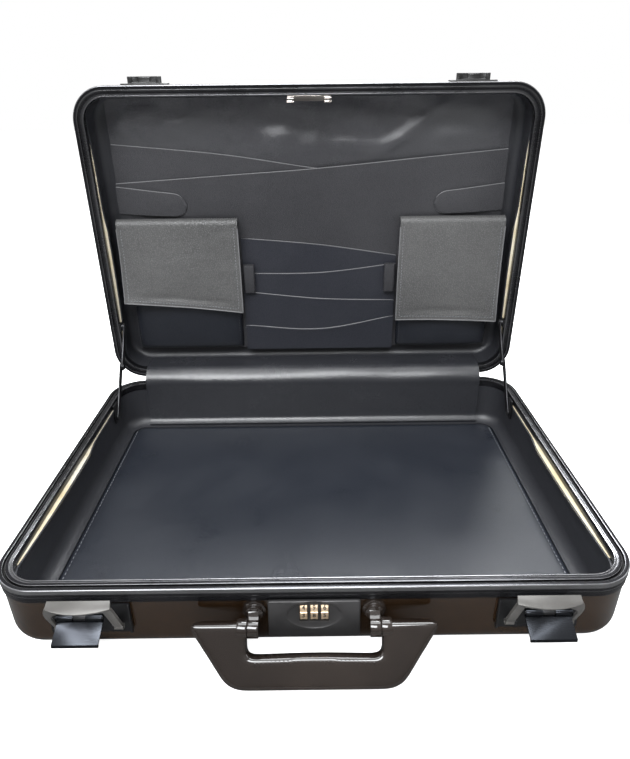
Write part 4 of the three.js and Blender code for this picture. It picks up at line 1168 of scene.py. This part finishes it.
# the loose leather behind the pockets, waved where no pocket holds it
def makeLidPanel():
    columns, rows, half, top = panel["columns"], panel["rows"], panel["half"], panel["top"]
    foldX, foldReach = panel["foldAt"]
    grid = []
    for r in range(rows + 1):
        reach = panel["low"] + (top - panel["low"]) * r / rows
        row = []
        for c in range(columns + 1):
            x = half * (2 * c / columns - 1)
            held = max(alongCurve(organiser["rearEdge"], x), alongCurve(organiser["frontEdge"], x))
            loose = min(max((reach - held - 3) / 16, 0), 1) * min(max((top - reach) / 12, 0), 1)
            loose *= min((half - abs(x)) / 14, 1)
            wave = noise.noise(Vector((x / 70, reach / 26, 2)))
            wave += 0.6 * noise.noise(Vector((x / 30, reach / 18, 8)))
            slant = (x - foldX - (reach - foldReach) * panel["foldSlant"]) / panel["foldWidth"]
            lift = panel["rise"] + panel["wave"] * wave + panel["fold"] * math.exp(-slant ** 2)
            row.append(onOrganiser(x, reach, 0.1 + loose * max(lift, 0)))
        grid.append(row)
    piece = gridPiece("lidPanelLeather", grid, panelHide, thick=panel["thick"], smoothAngle=70)
    settle(piece, "lid", "lining_leather")
    for sign in (-1, 1):
        x = sign * (half - panel["seamIn"])
        stitchLines.append([onOrganiser(x, reach, 0.35) for reach in (258, 265, 272, 280, 288, 297)])


signs = {"left": -1, "right": 1}
strap = {
    "root": 203,
    "tip": 131.5,
    "rootLow": 187,
    "rootHigh": 214,
    "tipReach": 194,
    "tipHalf": 11,
    "tipRound": 14,
    "thick": 1.9,
    "out": 5.5,
    "arch": 1.6,
    "crown": 0.5,
    "rows": 39,
    "columns": 12,
    "seamAt": 0.83,     # share of the half width
}


def makeStrap(side):
    rows = []
    length = strap["root"] - strap["tip"]
    middle = strap["columns"] // 2
    rootMiddle = (strap["rootLow"] + strap["rootHigh"]) / 2
    rootHalf = (strap["rootHigh"] - strap["rootLow"]) / 2
    for r in range(strap["rows"] + 1):
        along = r / strap["rows"]
        reach = rootMiddle * (1 - along) + strap["tipReach"] * along
        half = rootHalf * (1 - along ** 1.3) + strap["tipHalf"] * along ** 1.3
        end = max(along * length - (length - strap["tipRound"]), 0) / strap["tipRound"]
        half *= math.sqrt(max(1 - end ** 2.6, 0.0004))
        arch = strap["arch"] * math.sin(math.pi * along) ** 1.5
        row = []
        for c in range(strap["columns"] + 1):
            v = 2 * c / strap["columns"] - 1
            x = strap["root"] - along * length
            crown = strap["crown"] * (1 - v * v)
            row.append(onOrganiser(signs[side] * x, reach + v * half, strap["out"] + crown + arch))
        rows.append(row)
    piece = gridPiece("strapLeather" + side.capitalize(), rows, pocketLeather, thick=strap["thick"],
                      smoothAngle=60)
    settle(piece, "lid", "pocket_leather", f"strap_{side}")
    upper = [row[middle] + (row[-1] - row[middle]) * strap["seamAt"] for row in rows[:-2]]
    lower = [row[middle] + (row[0] - row[middle]) * strap["seamAt"] for row in rows[:-2]]
    stitchLines.append(upper + lower[::-1])
    edgeBeads.append([row[-1] for row in rows[:-1]] + [row[0] for row in rows[:-1]][::-1])


pouch = {
    "outer": 202,
    "inner": {"left": 80, "right": 97},
    "start": 27,
    "top": 177,
    "back": 4.5,
    "front": 12.6,
    "belly": 2.56,
    "crumple": 0.9,
    "most": 16.1,       # stays under its flap
    "columns": 44,
    "rows": 54,
    "seamAt": 3,
}


def makePouch(side):
    sign = signs[side]
    x0, x1 = pouch["inner"][side], pouch["outer"]
    columns, rows, back = pouch["columns"], pouch["rows"], pouch["back"]
    grid = []
    for r in range(rows + 1):
        v = towardsEnds(2 * r / rows - 1, 1.4)
        row = []
        for c in range(columns + 1):
            u = towardsEnds(2 * c / columns - 1, 1.4)
            fallU, fallV = (1 - abs(u) ** 14) ** 0.5, (1 - abs(v) ** 18) ** 0.5
            belly = pouch["belly"] * (1 - u * u) * (0.55 - 0.45 * v)
            dents = noise.noise(Vector((u * 2.6 + sign * 4, v * 3.4, 7))) * (1 - abs(u) ** 4)
            out = back + (pouch["front"] - back + belly + pouch["crumple"] * dents) * fallU * fallV
            x = (x0 + x1) / 2 + u * (x1 - x0) / 2 - 1.2 * (1 - fallV) * u
            reach = (pouch["start"] + pouch["top"]) / 2 + v * (pouch["top"] - pouch["start"]) / 2
            row.append(onOrganiser(sign * x, reach, min(out, pouch["most"])))
        grid.append(row)
    count = columns + 1
    points = [p for row in grid for p in row]
    edge = ([c for c in range(count)] + [r * count + columns for r in range(1, rows + 1)]
            + [rows * count + c for c in range(columns - 1, -1, -1)]
            + [r * count for r in range(rows - 1, 0, -1)])
    faces = gridFaces(rows + 1, count) + [edge]
    piece = meshPiece("pouchLeather" + side.capitalize(), points, faces, pouchLeather, 60)
    settle(piece, "lid", "pocket_leather", f"pouch_{side}")
    for c in (pouch["seamAt"], columns - pouch["seamAt"]):
        stitchLines.append([grid[r][c] for r in range(3, rows - 2)])


flap = {
    "left": {"inner": 78, "outer": 206, "innerDrop": 104, "outerDrop": 90, "lift": 8.0, "innerLift": 4.0},
    "right": {"inner": 95, "outer": 206, "innerDrop": 115, "outerDrop": 117, "lift": 7.0, "innerLift": 4.0},
    "out": 17.7,
    "thick": 1.5,
    "top": 175.5,           # distance from the hinge where it turns over the pouch
    "turnUp": 5.5,
    "turnReach": 6.2,
    "turnOut": 6.6,
    "belly": 1.4,
    "hem": 1.1,             # the dip just inside the turned lower edge
    "wave": 0.9,
    "fineWave": 0.35,
    "widen": 0.012,
    "widenFrom": 140,
    "columns": 60,
    "rows": 64,
    "overRows": 9,          # rows that go over the top of the pouch
}


# distance from the hinge and height off the lid's floor, u across and v down the hanging part
def flapShape(side, u, v):
    sign, values = signs[side], flap[side]
    drop = values["innerDrop"] + (values["outerDrop"] - values["innerDrop"]) * u
    edgeLift = values["lift"] * u ** 2 + values["innerLift"] * (1 - u) ** 2
    fade = min(v * 4, 1)
    out = flap["out"] + edgeLift * v ** 2.4
    out += flap["belly"] * math.sin(math.pi * u) * math.sin(math.pi * min(v * 1.1, 1)) ** 0.8
    out -= flap["hem"] * math.exp(-((v - 0.9) / 0.035) ** 2) * math.sin(math.pi * u)
    out += flap["wave"] * noise.noise(Vector((u * 2.2 + sign * 3, v * 3.0, 11))) * fade
    out += flap["fineWave"] * noise.noise(Vector((u * 8 + sign * 3, v * 9, 4))) * fade
    return flap["top"] - (drop - flap["turnUp"]) * v, max(out, flap["out"] - 0.5)


def makeFlap(side):
    sign, values = signs[side], flap[side]
    columns, rows, over = flap["columns"], flap["rows"], flap["overRows"]
    grid = []
    for r in range(rows + 1):
        row = []
        for c in range(columns + 1):
            u = c / columns
            x = values["inner"] + (values["outer"] - values["inner"]) * u
            if r <= over:
                turn = math.radians(-20 + 110 * r / over)
                reach = flap["top"] + flap["turnReach"] * math.cos(turn)
                out = flap["out"] - flap["turnOut"] + flap["turnOut"] * math.sin(turn)
            else:
                v = (r - over) / (rows - over)
                reach, out = flapShape(side, u, v)
                x = (x - flap["widenFrom"]) * (1 + flap["widen"] * v) + flap["widenFrom"]
            row.append(onOrganiser(sign * x, reach, out))
        grid.append(row)
    piece = gridPiece("flapLeather" + side.capitalize(), grid, flapLeather, flap["thick"], smoothAngle=70)
    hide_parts(f"pouch_flap_{side}")
    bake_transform(piece)
    line = [grid[r][2] for r in range(over + 2, rows - 2)]
    line += [grid[rows - 2][c] for c in range(3, columns - 1)]
    line += [grid[r][columns - 2] for r in range(rows - 3, over + 2, -1)]
    rimLine = [grid[r][0] for r in range(over + 2, rows)] + grid[rows]
    rimLine += [grid[r][columns] for r in range(rows - 1, over + 1, -1)]
    middle = line[len(line) // 2]
    return side, [p + outwards * 0.12 * mm for p in line], [p.lerp(middle, 0.002) for p in rimLine]


makeDocumentPockets()
makeCardPockets()
makeLidPanel()
flapStitches = []
for side in signs:
    makeStrap(side)
    makePouch(side)
    flapStitches.append(makeFlap(side))
    node = f"pen_loop_{side}"
    settle(refined(node, pocketLeather, 0.5, 3, 40), "lid", "pocket_leather", node)
print("organiser made")


def newTree(name, inputs):
    tree = bpy.data.node_groups.new(name, "GeometryNodeTree")
    tree.interface.new_socket(name="Geometry", in_out="INPUT", socket_type="NodeSocketGeometry")
    for label, kind, value in inputs:
        socket = tree.interface.new_socket(name=label, in_out="INPUT", socket_type=kind)
        if value is not None:
            socket.default_value = value
    tree.interface.new_socket(name="Geometry", in_out="OUTPUT", socket_type="NodeSocketGeometry")
    return tree, tree.nodes.new("NodeGroupInput"), tree.nodes.new("NodeGroupOutput")


def addNode(tree, kind, links=None, **settings):
    return wire(tree, "GeometryNode" + kind, links, **settings)


# instances made real and painted, which every tree ends in
def finishTree(tree, source, given, result):
    real = addNode(tree, "RealizeInstances", {"Geometry": source})
    paint = addNode(tree, "SetMaterial", {
        "Geometry": real.outputs[0], "Material": given.outputs["Material"]})
    tree.links.new(paint.outputs[0], result.inputs["Geometry"])


materialIn = "NodeSocketMaterial"


# stitches laid end to end along lines
def makeStitchTree():
    tree, given, result = newTree("stitchRows", [
        ("Spacing", floatIn, 0.0034), ("Length", floatIn, 0.0024), ("Radius", floatIn, 0.00028),
        ("Seed", "NodeSocketInt", 3), ("Material", materialIn, None)])
    curve = addNode(tree, "MeshToCurve", {"Mesh": given.outputs["Geometry"]})
    points = addNode(tree, "CurveToPoints", {"Curve": curve.outputs[0], "Length": given.outputs["Spacing"]},
                     mode="LENGTH")
    bead = addNode(tree, "MeshUVSphere", {"Segments": 6, "Rings": 4, "Radius": 1.0})
    half = combine(tree, "MULTIPLY", given.outputs["Length"], 0.5)
    size = wire(tree, "ShaderNodeCombineXYZ", {
        "X": given.outputs["Radius"], "Y": given.outputs["Radius"], "Z": half})
    shaped = addNode(tree, "Transform", {"Geometry": bead.outputs["Mesh"], "Scale": size.outputs[0]})
    align = wire(tree, "FunctionNodeAlignRotationToVector", {"Vector": points.outputs["Tangent"]}, axis="Z")
    vary = tree.nodes.new("FunctionNodeRandomValue")
    vary.data_type = "FLOAT"
    vary.inputs[2].default_value = 0.88
    vary.inputs[3].default_value = 1.06
    tree.links.new(given.outputs["Seed"], vary.inputs["Seed"])
    placed = addNode(tree, "InstanceOnPoints", {
        "Points": points.outputs["Points"], "Instance": shaped.outputs[0],
        "Rotation": align.outputs[0], "Scale": vary.outputs[1]})
    finishTree(tree, placed.outputs[0], given, result)
    return tree


# a thin round cord along lines, for turned leather edges
def makeEdgeTree():
    tree, given, result = newTree("edgeCords", [
        ("Radius", floatIn, 0.0005), ("Material", materialIn, None)])
    curve = addNode(tree, "MeshToCurve", {"Mesh": given.outputs["Geometry"]})
    section = addNode(tree, "CurvePrimitiveCircle", {"Resolution": 7, "Radius": given.outputs["Radius"]})
    run = addNode(tree, "CurveToMesh", {
        "Curve": curve.outputs[0], "Profile Curve": section.outputs[0], "Fill Caps": True})
    finishTree(tree, run.outputs[0], given, result)
    return tree


# one rounded rib at each vertex, all turned the same way
def makeRibTree():
    tree, given, result = newTree("ribRow", [
        ("Size", vectorIn, None), ("Turn", "NodeSocketRotation", None), ("Material", materialIn, None)])
    rib = addNode(tree, "MeshUVSphere", {"Segments": 14, "Rings": 8, "Radius": 1.0})
    shaped = addNode(tree, "Transform", {"Geometry": rib.outputs["Mesh"], "Scale": given.outputs["Size"]})
    placed = addNode(tree, "InstanceOnPoints", {
        "Points": given.outputs["Geometry"], "Instance": shaped.outputs[0],
        "Rotation": given.outputs["Turn"]})
    finishTree(tree, placed.outputs[0], given, result)
    return tree


stitchTree, edgeTree, ribTree = makeStitchTree(), makeEdgeTree(), makeRibTree()


# a tree's result on bare points and edges, as a plain mesh
def grown(name, points, edges, tree, inputs):
    mesh = bpy.data.meshes.new(name)
    mesh.from_pydata([tuple(p) for p in points], edges, [])
    obj = inScene(name, mesh)
    modifier = obj.modifiers.new("nodes", "NODES")
    modifier.node_group = tree
    for item in tree.interface.items_tree:
        if item.item_type == "SOCKET" and item.in_out == "INPUT" and item.name in inputs:
            modifier[item.identifier] = inputs[item.name]
    bake(obj)
    outward(obj)
    shade(obj, 60)
    return obj


def grownLines(name, lines, tree, inputs):
    points, edges = [], []
    for line in lines:
        start = len(points)
        points += line
        edges += [(start + i, start + i + 1) for i in range(len(line) - 1)]
    return grown(name, points, edges, tree, inputs)


stitch = {
    "pocket": {"Spacing": 0.0032, "Length": 0.0023, "Radius": 0.00026, "Seed": 5, "Material": thread},
    "flap": {"Spacing": 0.0032, "Length": 0.0023, "Radius": 0.00034, "Material": paleThread},
    "floor": {"Spacing": 0.0044, "Length": 0.003, "Radius": 0.00045, "Seed": 2, "Material": paleThread},
    "flapSeeds": {"left": 9, "right": 11},
    "pocketEdge": {"Radius": 0.00068, "Material": edgeLeather},
    "flapEdge": {"Radius": 0.00075, "Material": edgeLeather},
    "floorIn": 3.4,
    "floorHalf": 124,
}


def makeStitches():
    rows = grownLines("organiserStitches", stitchLines, stitchTree, stitch["pocket"])
    settle(rows, "lid", "pocket_leather")
    edges = grownLines("organiserEdges", edgeBeads, edgeTree, stitch["pocketEdge"])
    settle(edges, "lid", "pocket_leather")
    for side, line, rimLine in flapStitches:
        body, end = f"pouch_flap_{side}", side.capitalize()
        rows = {**stitch["flap"], "Seed": stitch["flapSeeds"][side]}
        settle(grownLines("flapStitches" + end, [line], stitchTree, rows), body, "flap_leather")
        settle(grownLines("flapEdge" + end, [rimLine], edgeTree, stitch["flapEdge"]), body, "flap_leather")
    high = boxOf("base_floor_panel")[1]
    half = stitch["floorHalf"]
    seams = [[Vector((sign * (high.x - stitch["floorIn"]), -half + 2 * half * i / 59, high.z + 0.02)) * mm
              for i in range(60)] for sign in (-1, 1)]
    settle(grownLines("floorStitches", seams, stitchTree, stitch["floor"]), "base", "lining_leather")


handle = {
    "span": 168,
    "window": 90,
    "grip": 112,
    "inner": 17,
    "outer": 37,
    "thick": 12,
    "wingRise": 4.5,
    "edge": 3.0,
    "tableGap": 0.8,
    "sag": 0.9,             # how far the grip bows away from the hand
    "hubRadius": 6.5,
    "hubBore": 2.4,
    "hubLength": 7,
    "ribs": 30,
    "ribSpan": 78,
    "ribDeep": 3.6,
    "ribSize": (1.7, 6.4, 4.1),
    "voxel": 0.75,
    "rounding": 120,
}
pivot = Vector(joint("handle_swing")["pos_m"]) / mm


def handleDroop():
    along, across = handle["outer"] - handle["edge"], handle["thick"] / 2 - handle["edge"]
    drop = pivot.z - handle["tableGap"] - handle["edge"]
    return math.asin(min(drop / math.hypot(along, across), 1)) - math.atan2(across, along)


droop = handleDroop()


# across the handle, away from its pivot line, and through its thickness
def onHandle(x, v, w):
    return Vector((x, pivot.y - v * math.cos(droop) + w * math.sin(droop),
                   pivot.z - v * math.sin(droop) - w * math.cos(droop))) * mm


def handleOutline():
    wing, inner, grip = handle["span"] / 2, handle["window"] / 2, handle["grip"] / 2
    outer, low, top = handle["outer"], handle["inner"], -handle["wingRise"]
    half = [(inner, top), (wing - 3, top)]
    half += curved((wing - 3, top), (wing, top), (wing - 1.5, top + 4), 8)
    half.append((grip + 6, outer - 8))
    half += curved(half[-1], (grip + 1, outer), (grip - 12, outer), 14)
    window = [(inner, top + 1), (inner, low - 5)]
    window += curved(window[-1], (inner, low), (inner - 5, low), 8)
    window += [((inner - 5) * (1 - i / 12), low - handle["sag"] * math.sin(math.pi / 2 * i / 12))
               for i in range(1, 13)]
    outline = half + [(0, outer)] + [(-x, v) for x, v in half[::-1]]
    return outline + [(-x, v) for x, v in window[1:-1]] + window[::-1][:-1]


# the turned boss that each pin goes through
def makeHub(sign):
    x0 = handle["window"] / 2 - 0.3
    x1 = handle["window"] / 2 + handle["hubLength"]
    r, bore = handle["hubRadius"], handle["hubBore"]
    profile = [(x0, bore), (x0, r * 0.45), (x0 + 0.5, r * 0.52), (x0 + 0.5, r * 0.7), (x0, r * 0.77),
               (x0, r - 0.7), (x0 + 0.2, r - 0.2), (x0 + 0.7, r), (x1 - 1, r), (x1 - 0.3, r - 0.3),
               (x1, r - 1), (x1, bore)]
    return turnedX("hub", [(sign * x, radius) for x, radius in profile], pivot.y, pivot.z, gripPlastic)


def makeRibs():
    points = []
    for i in range(handle["ribs"]):
        along = i / (handle["ribs"] - 1)
        sag = handle["sag"] * math.cos(math.pi * (along - 0.5))
        x = handle["ribSpan"] * (along - 0.5)
        points.append(onHandle(x, handle["inner"] - sag + handle["ribDeep"], 0))
    size = tuple(s * mm for s in handle["ribSize"])
    return grown("gripRibs", points, [], ribTree,
                 {"Size": size, "Turn": (droop - math.pi / 2, 0, 0), "Material": gripPlastic})


def makeHandle():
    half = handle["thick"] / 2
    body = slab("handleBody", handleOutline(), onHandle, -half, half, gripPlastic)
    remesh = body.modifiers.new("remesh", "REMESH")     # even skin that the smoothing can round
    remesh.mode = "VOXEL"
    remesh.voxel_size = handle["voxel"] * mm
    smooth = body.modifiers.new("smooth", "SMOOTH")
    smooth.factor = 0.5
    smooth.iterations = handle["rounding"]
    bake(body)
    shade(body, 180)
    outward(body)
    parts = [body, makeHub(-1), makeHub(1), makeRibs()]
    settle(joined("handleGloss", parts), "handle", "handle_plastic", "handle")


makeHandle()
makeStitches()
print("handle, stitches and leather edges made")


wheel = {"flats": 10, "digitSize": 4.554, "digitRaise": 0.08, "digitSpread": 0.06, "digitSeat": 0.998,
         "shown": (3, 8, 5), "bevel": 0.25}


# a raised numeral, as a mesh about its own middle
def digitMesh(text):
    font = bpy.data.curves.new("digit", "FONT")
    font.body = text
    font.size = wheel["digitSize"] * mm
    font.align_x = "CENTER"
    font.align_y = "CENTER"
    font.extrude = wheel["digitRaise"] * mm
    font.offset = wheel["digitSpread"] * mm
    font.resolution_u = 3
    obj = inScene("digit", font)
    mesh = evaluated(obj)
    bpy.data.objects.remove(obj)
    mesh.materials.clear()
    mesh.materials.append(digitInk)
    return mesh


def makeDials():
    count = wheel["flats"]
    digits = [digitMesh(str(n)) for n in range(count)]
    for i, front in enumerate(wheel["shown"], 1):
        low, high = boxOf(f"dial_{i}")
        centre = Vector(joint(f"dial_{i}_turn")["pos_m"])
        middle = Vector(((low.x + high.x) / 2 * mm, centre.y, centre.z))
        seat = (high.z - low.z) / 2 * mm * wheel["digitSeat"]
        parts = [refined(f"dial_{i}", dialGold, wheel["bevel"], angle=12)]
        for n in range(count):
            angle = 2 * math.pi * n / count
            out = Vector((0, math.cos(angle), math.sin(angle)))
            up = Vector((0, math.sin(angle), -math.cos(angle)))
            mesh = digits[(front + count // 2 - n) % count].copy()
            turn = Matrix(((1, 0, 0), up, out)).transposed().to_4x4()
            mesh.transform(Matrix.Translation(middle + out * seat) @ turn)
            parts.append(inScene("digit", mesh))
        settle(joined(f"numberWheel{i}", parts), f"dial_{i}", "dial_metal", f"dial_{i}")
    for mesh in digits:
        bpy.data.meshes.remove(mesh)


finishSlots = {
    "bright_steel": brightSteel,
    "dark_steel": darkSteel,
    "handle_plastic": gripPlastic,
    "lever_metal": gunmetal,
    "frame_enamel": enamel,
    "strike_metal": strikeMetal,
    "nickel": nickel,
}
# node, body, slot, width of its softened edges; a star stands for the side
fittings = [
    ("lock_spindle", "base", "bright_steel", 0.2),
    ("lock_bolt", "lock_bolt", "bright_steel", 0.2),
    ("bolt_spring", "base", "bright_steel", 0),
    ("lock_striker", "lid", "nickel", 0.35),
    ("hinge_leaf_base", "base", "dark_steel", 0.15),
    ("hinge_leaf_lid", "lid", "dark_steel", 0.15),
    ("hinge_pin", "base", "bright_steel", 0.15),
    ("stay_foot_*", "base", "dark_steel", 0.2),
    ("stay_head_*", "lid", "dark_steel", 0.2),
    ("stay_lower_*", "stay_lower_*", "dark_steel", 0.25),
    ("stay_upper_*", "stay_upper_*", "dark_steel", 0.25),
    ("handle_post_*", "base", "handle_plastic", 0.35),
    ("handle_pin_*", "base", "bright_steel", 0.2),
    ("latch_plate_*", "base", "dark_steel", 0.2),
    ("latch_pin_*", "base", "bright_steel", 0.15),
    ("latch_lever_*", "latch_lever_*", "lever_metal", 0.22),
    ("draw_frame_*", "draw_frame_*", "frame_enamel", 0.35),
    ("latch_strike_*", "lid", "strike_metal", 0.3),
]


def makeHardware():
    settle(refined("lock_plate", lockGrey, 0.12), "base", "lock_metal", "lock_plate")
    settle(refined("lock_case", lockBlack, 0.4), "base", "lock_metal", "lock_case")
    for node, body, slot, bevel in fittings:
        for side in (signs if "*" in node else [""]):
            name = node.replace("*", side)
            settle(refined(name, finishSlots[slot], bevel), body.replace("*", side), slot, name)


makeDials()
makeHardware()
print("lock, latches, stays and hinge made")
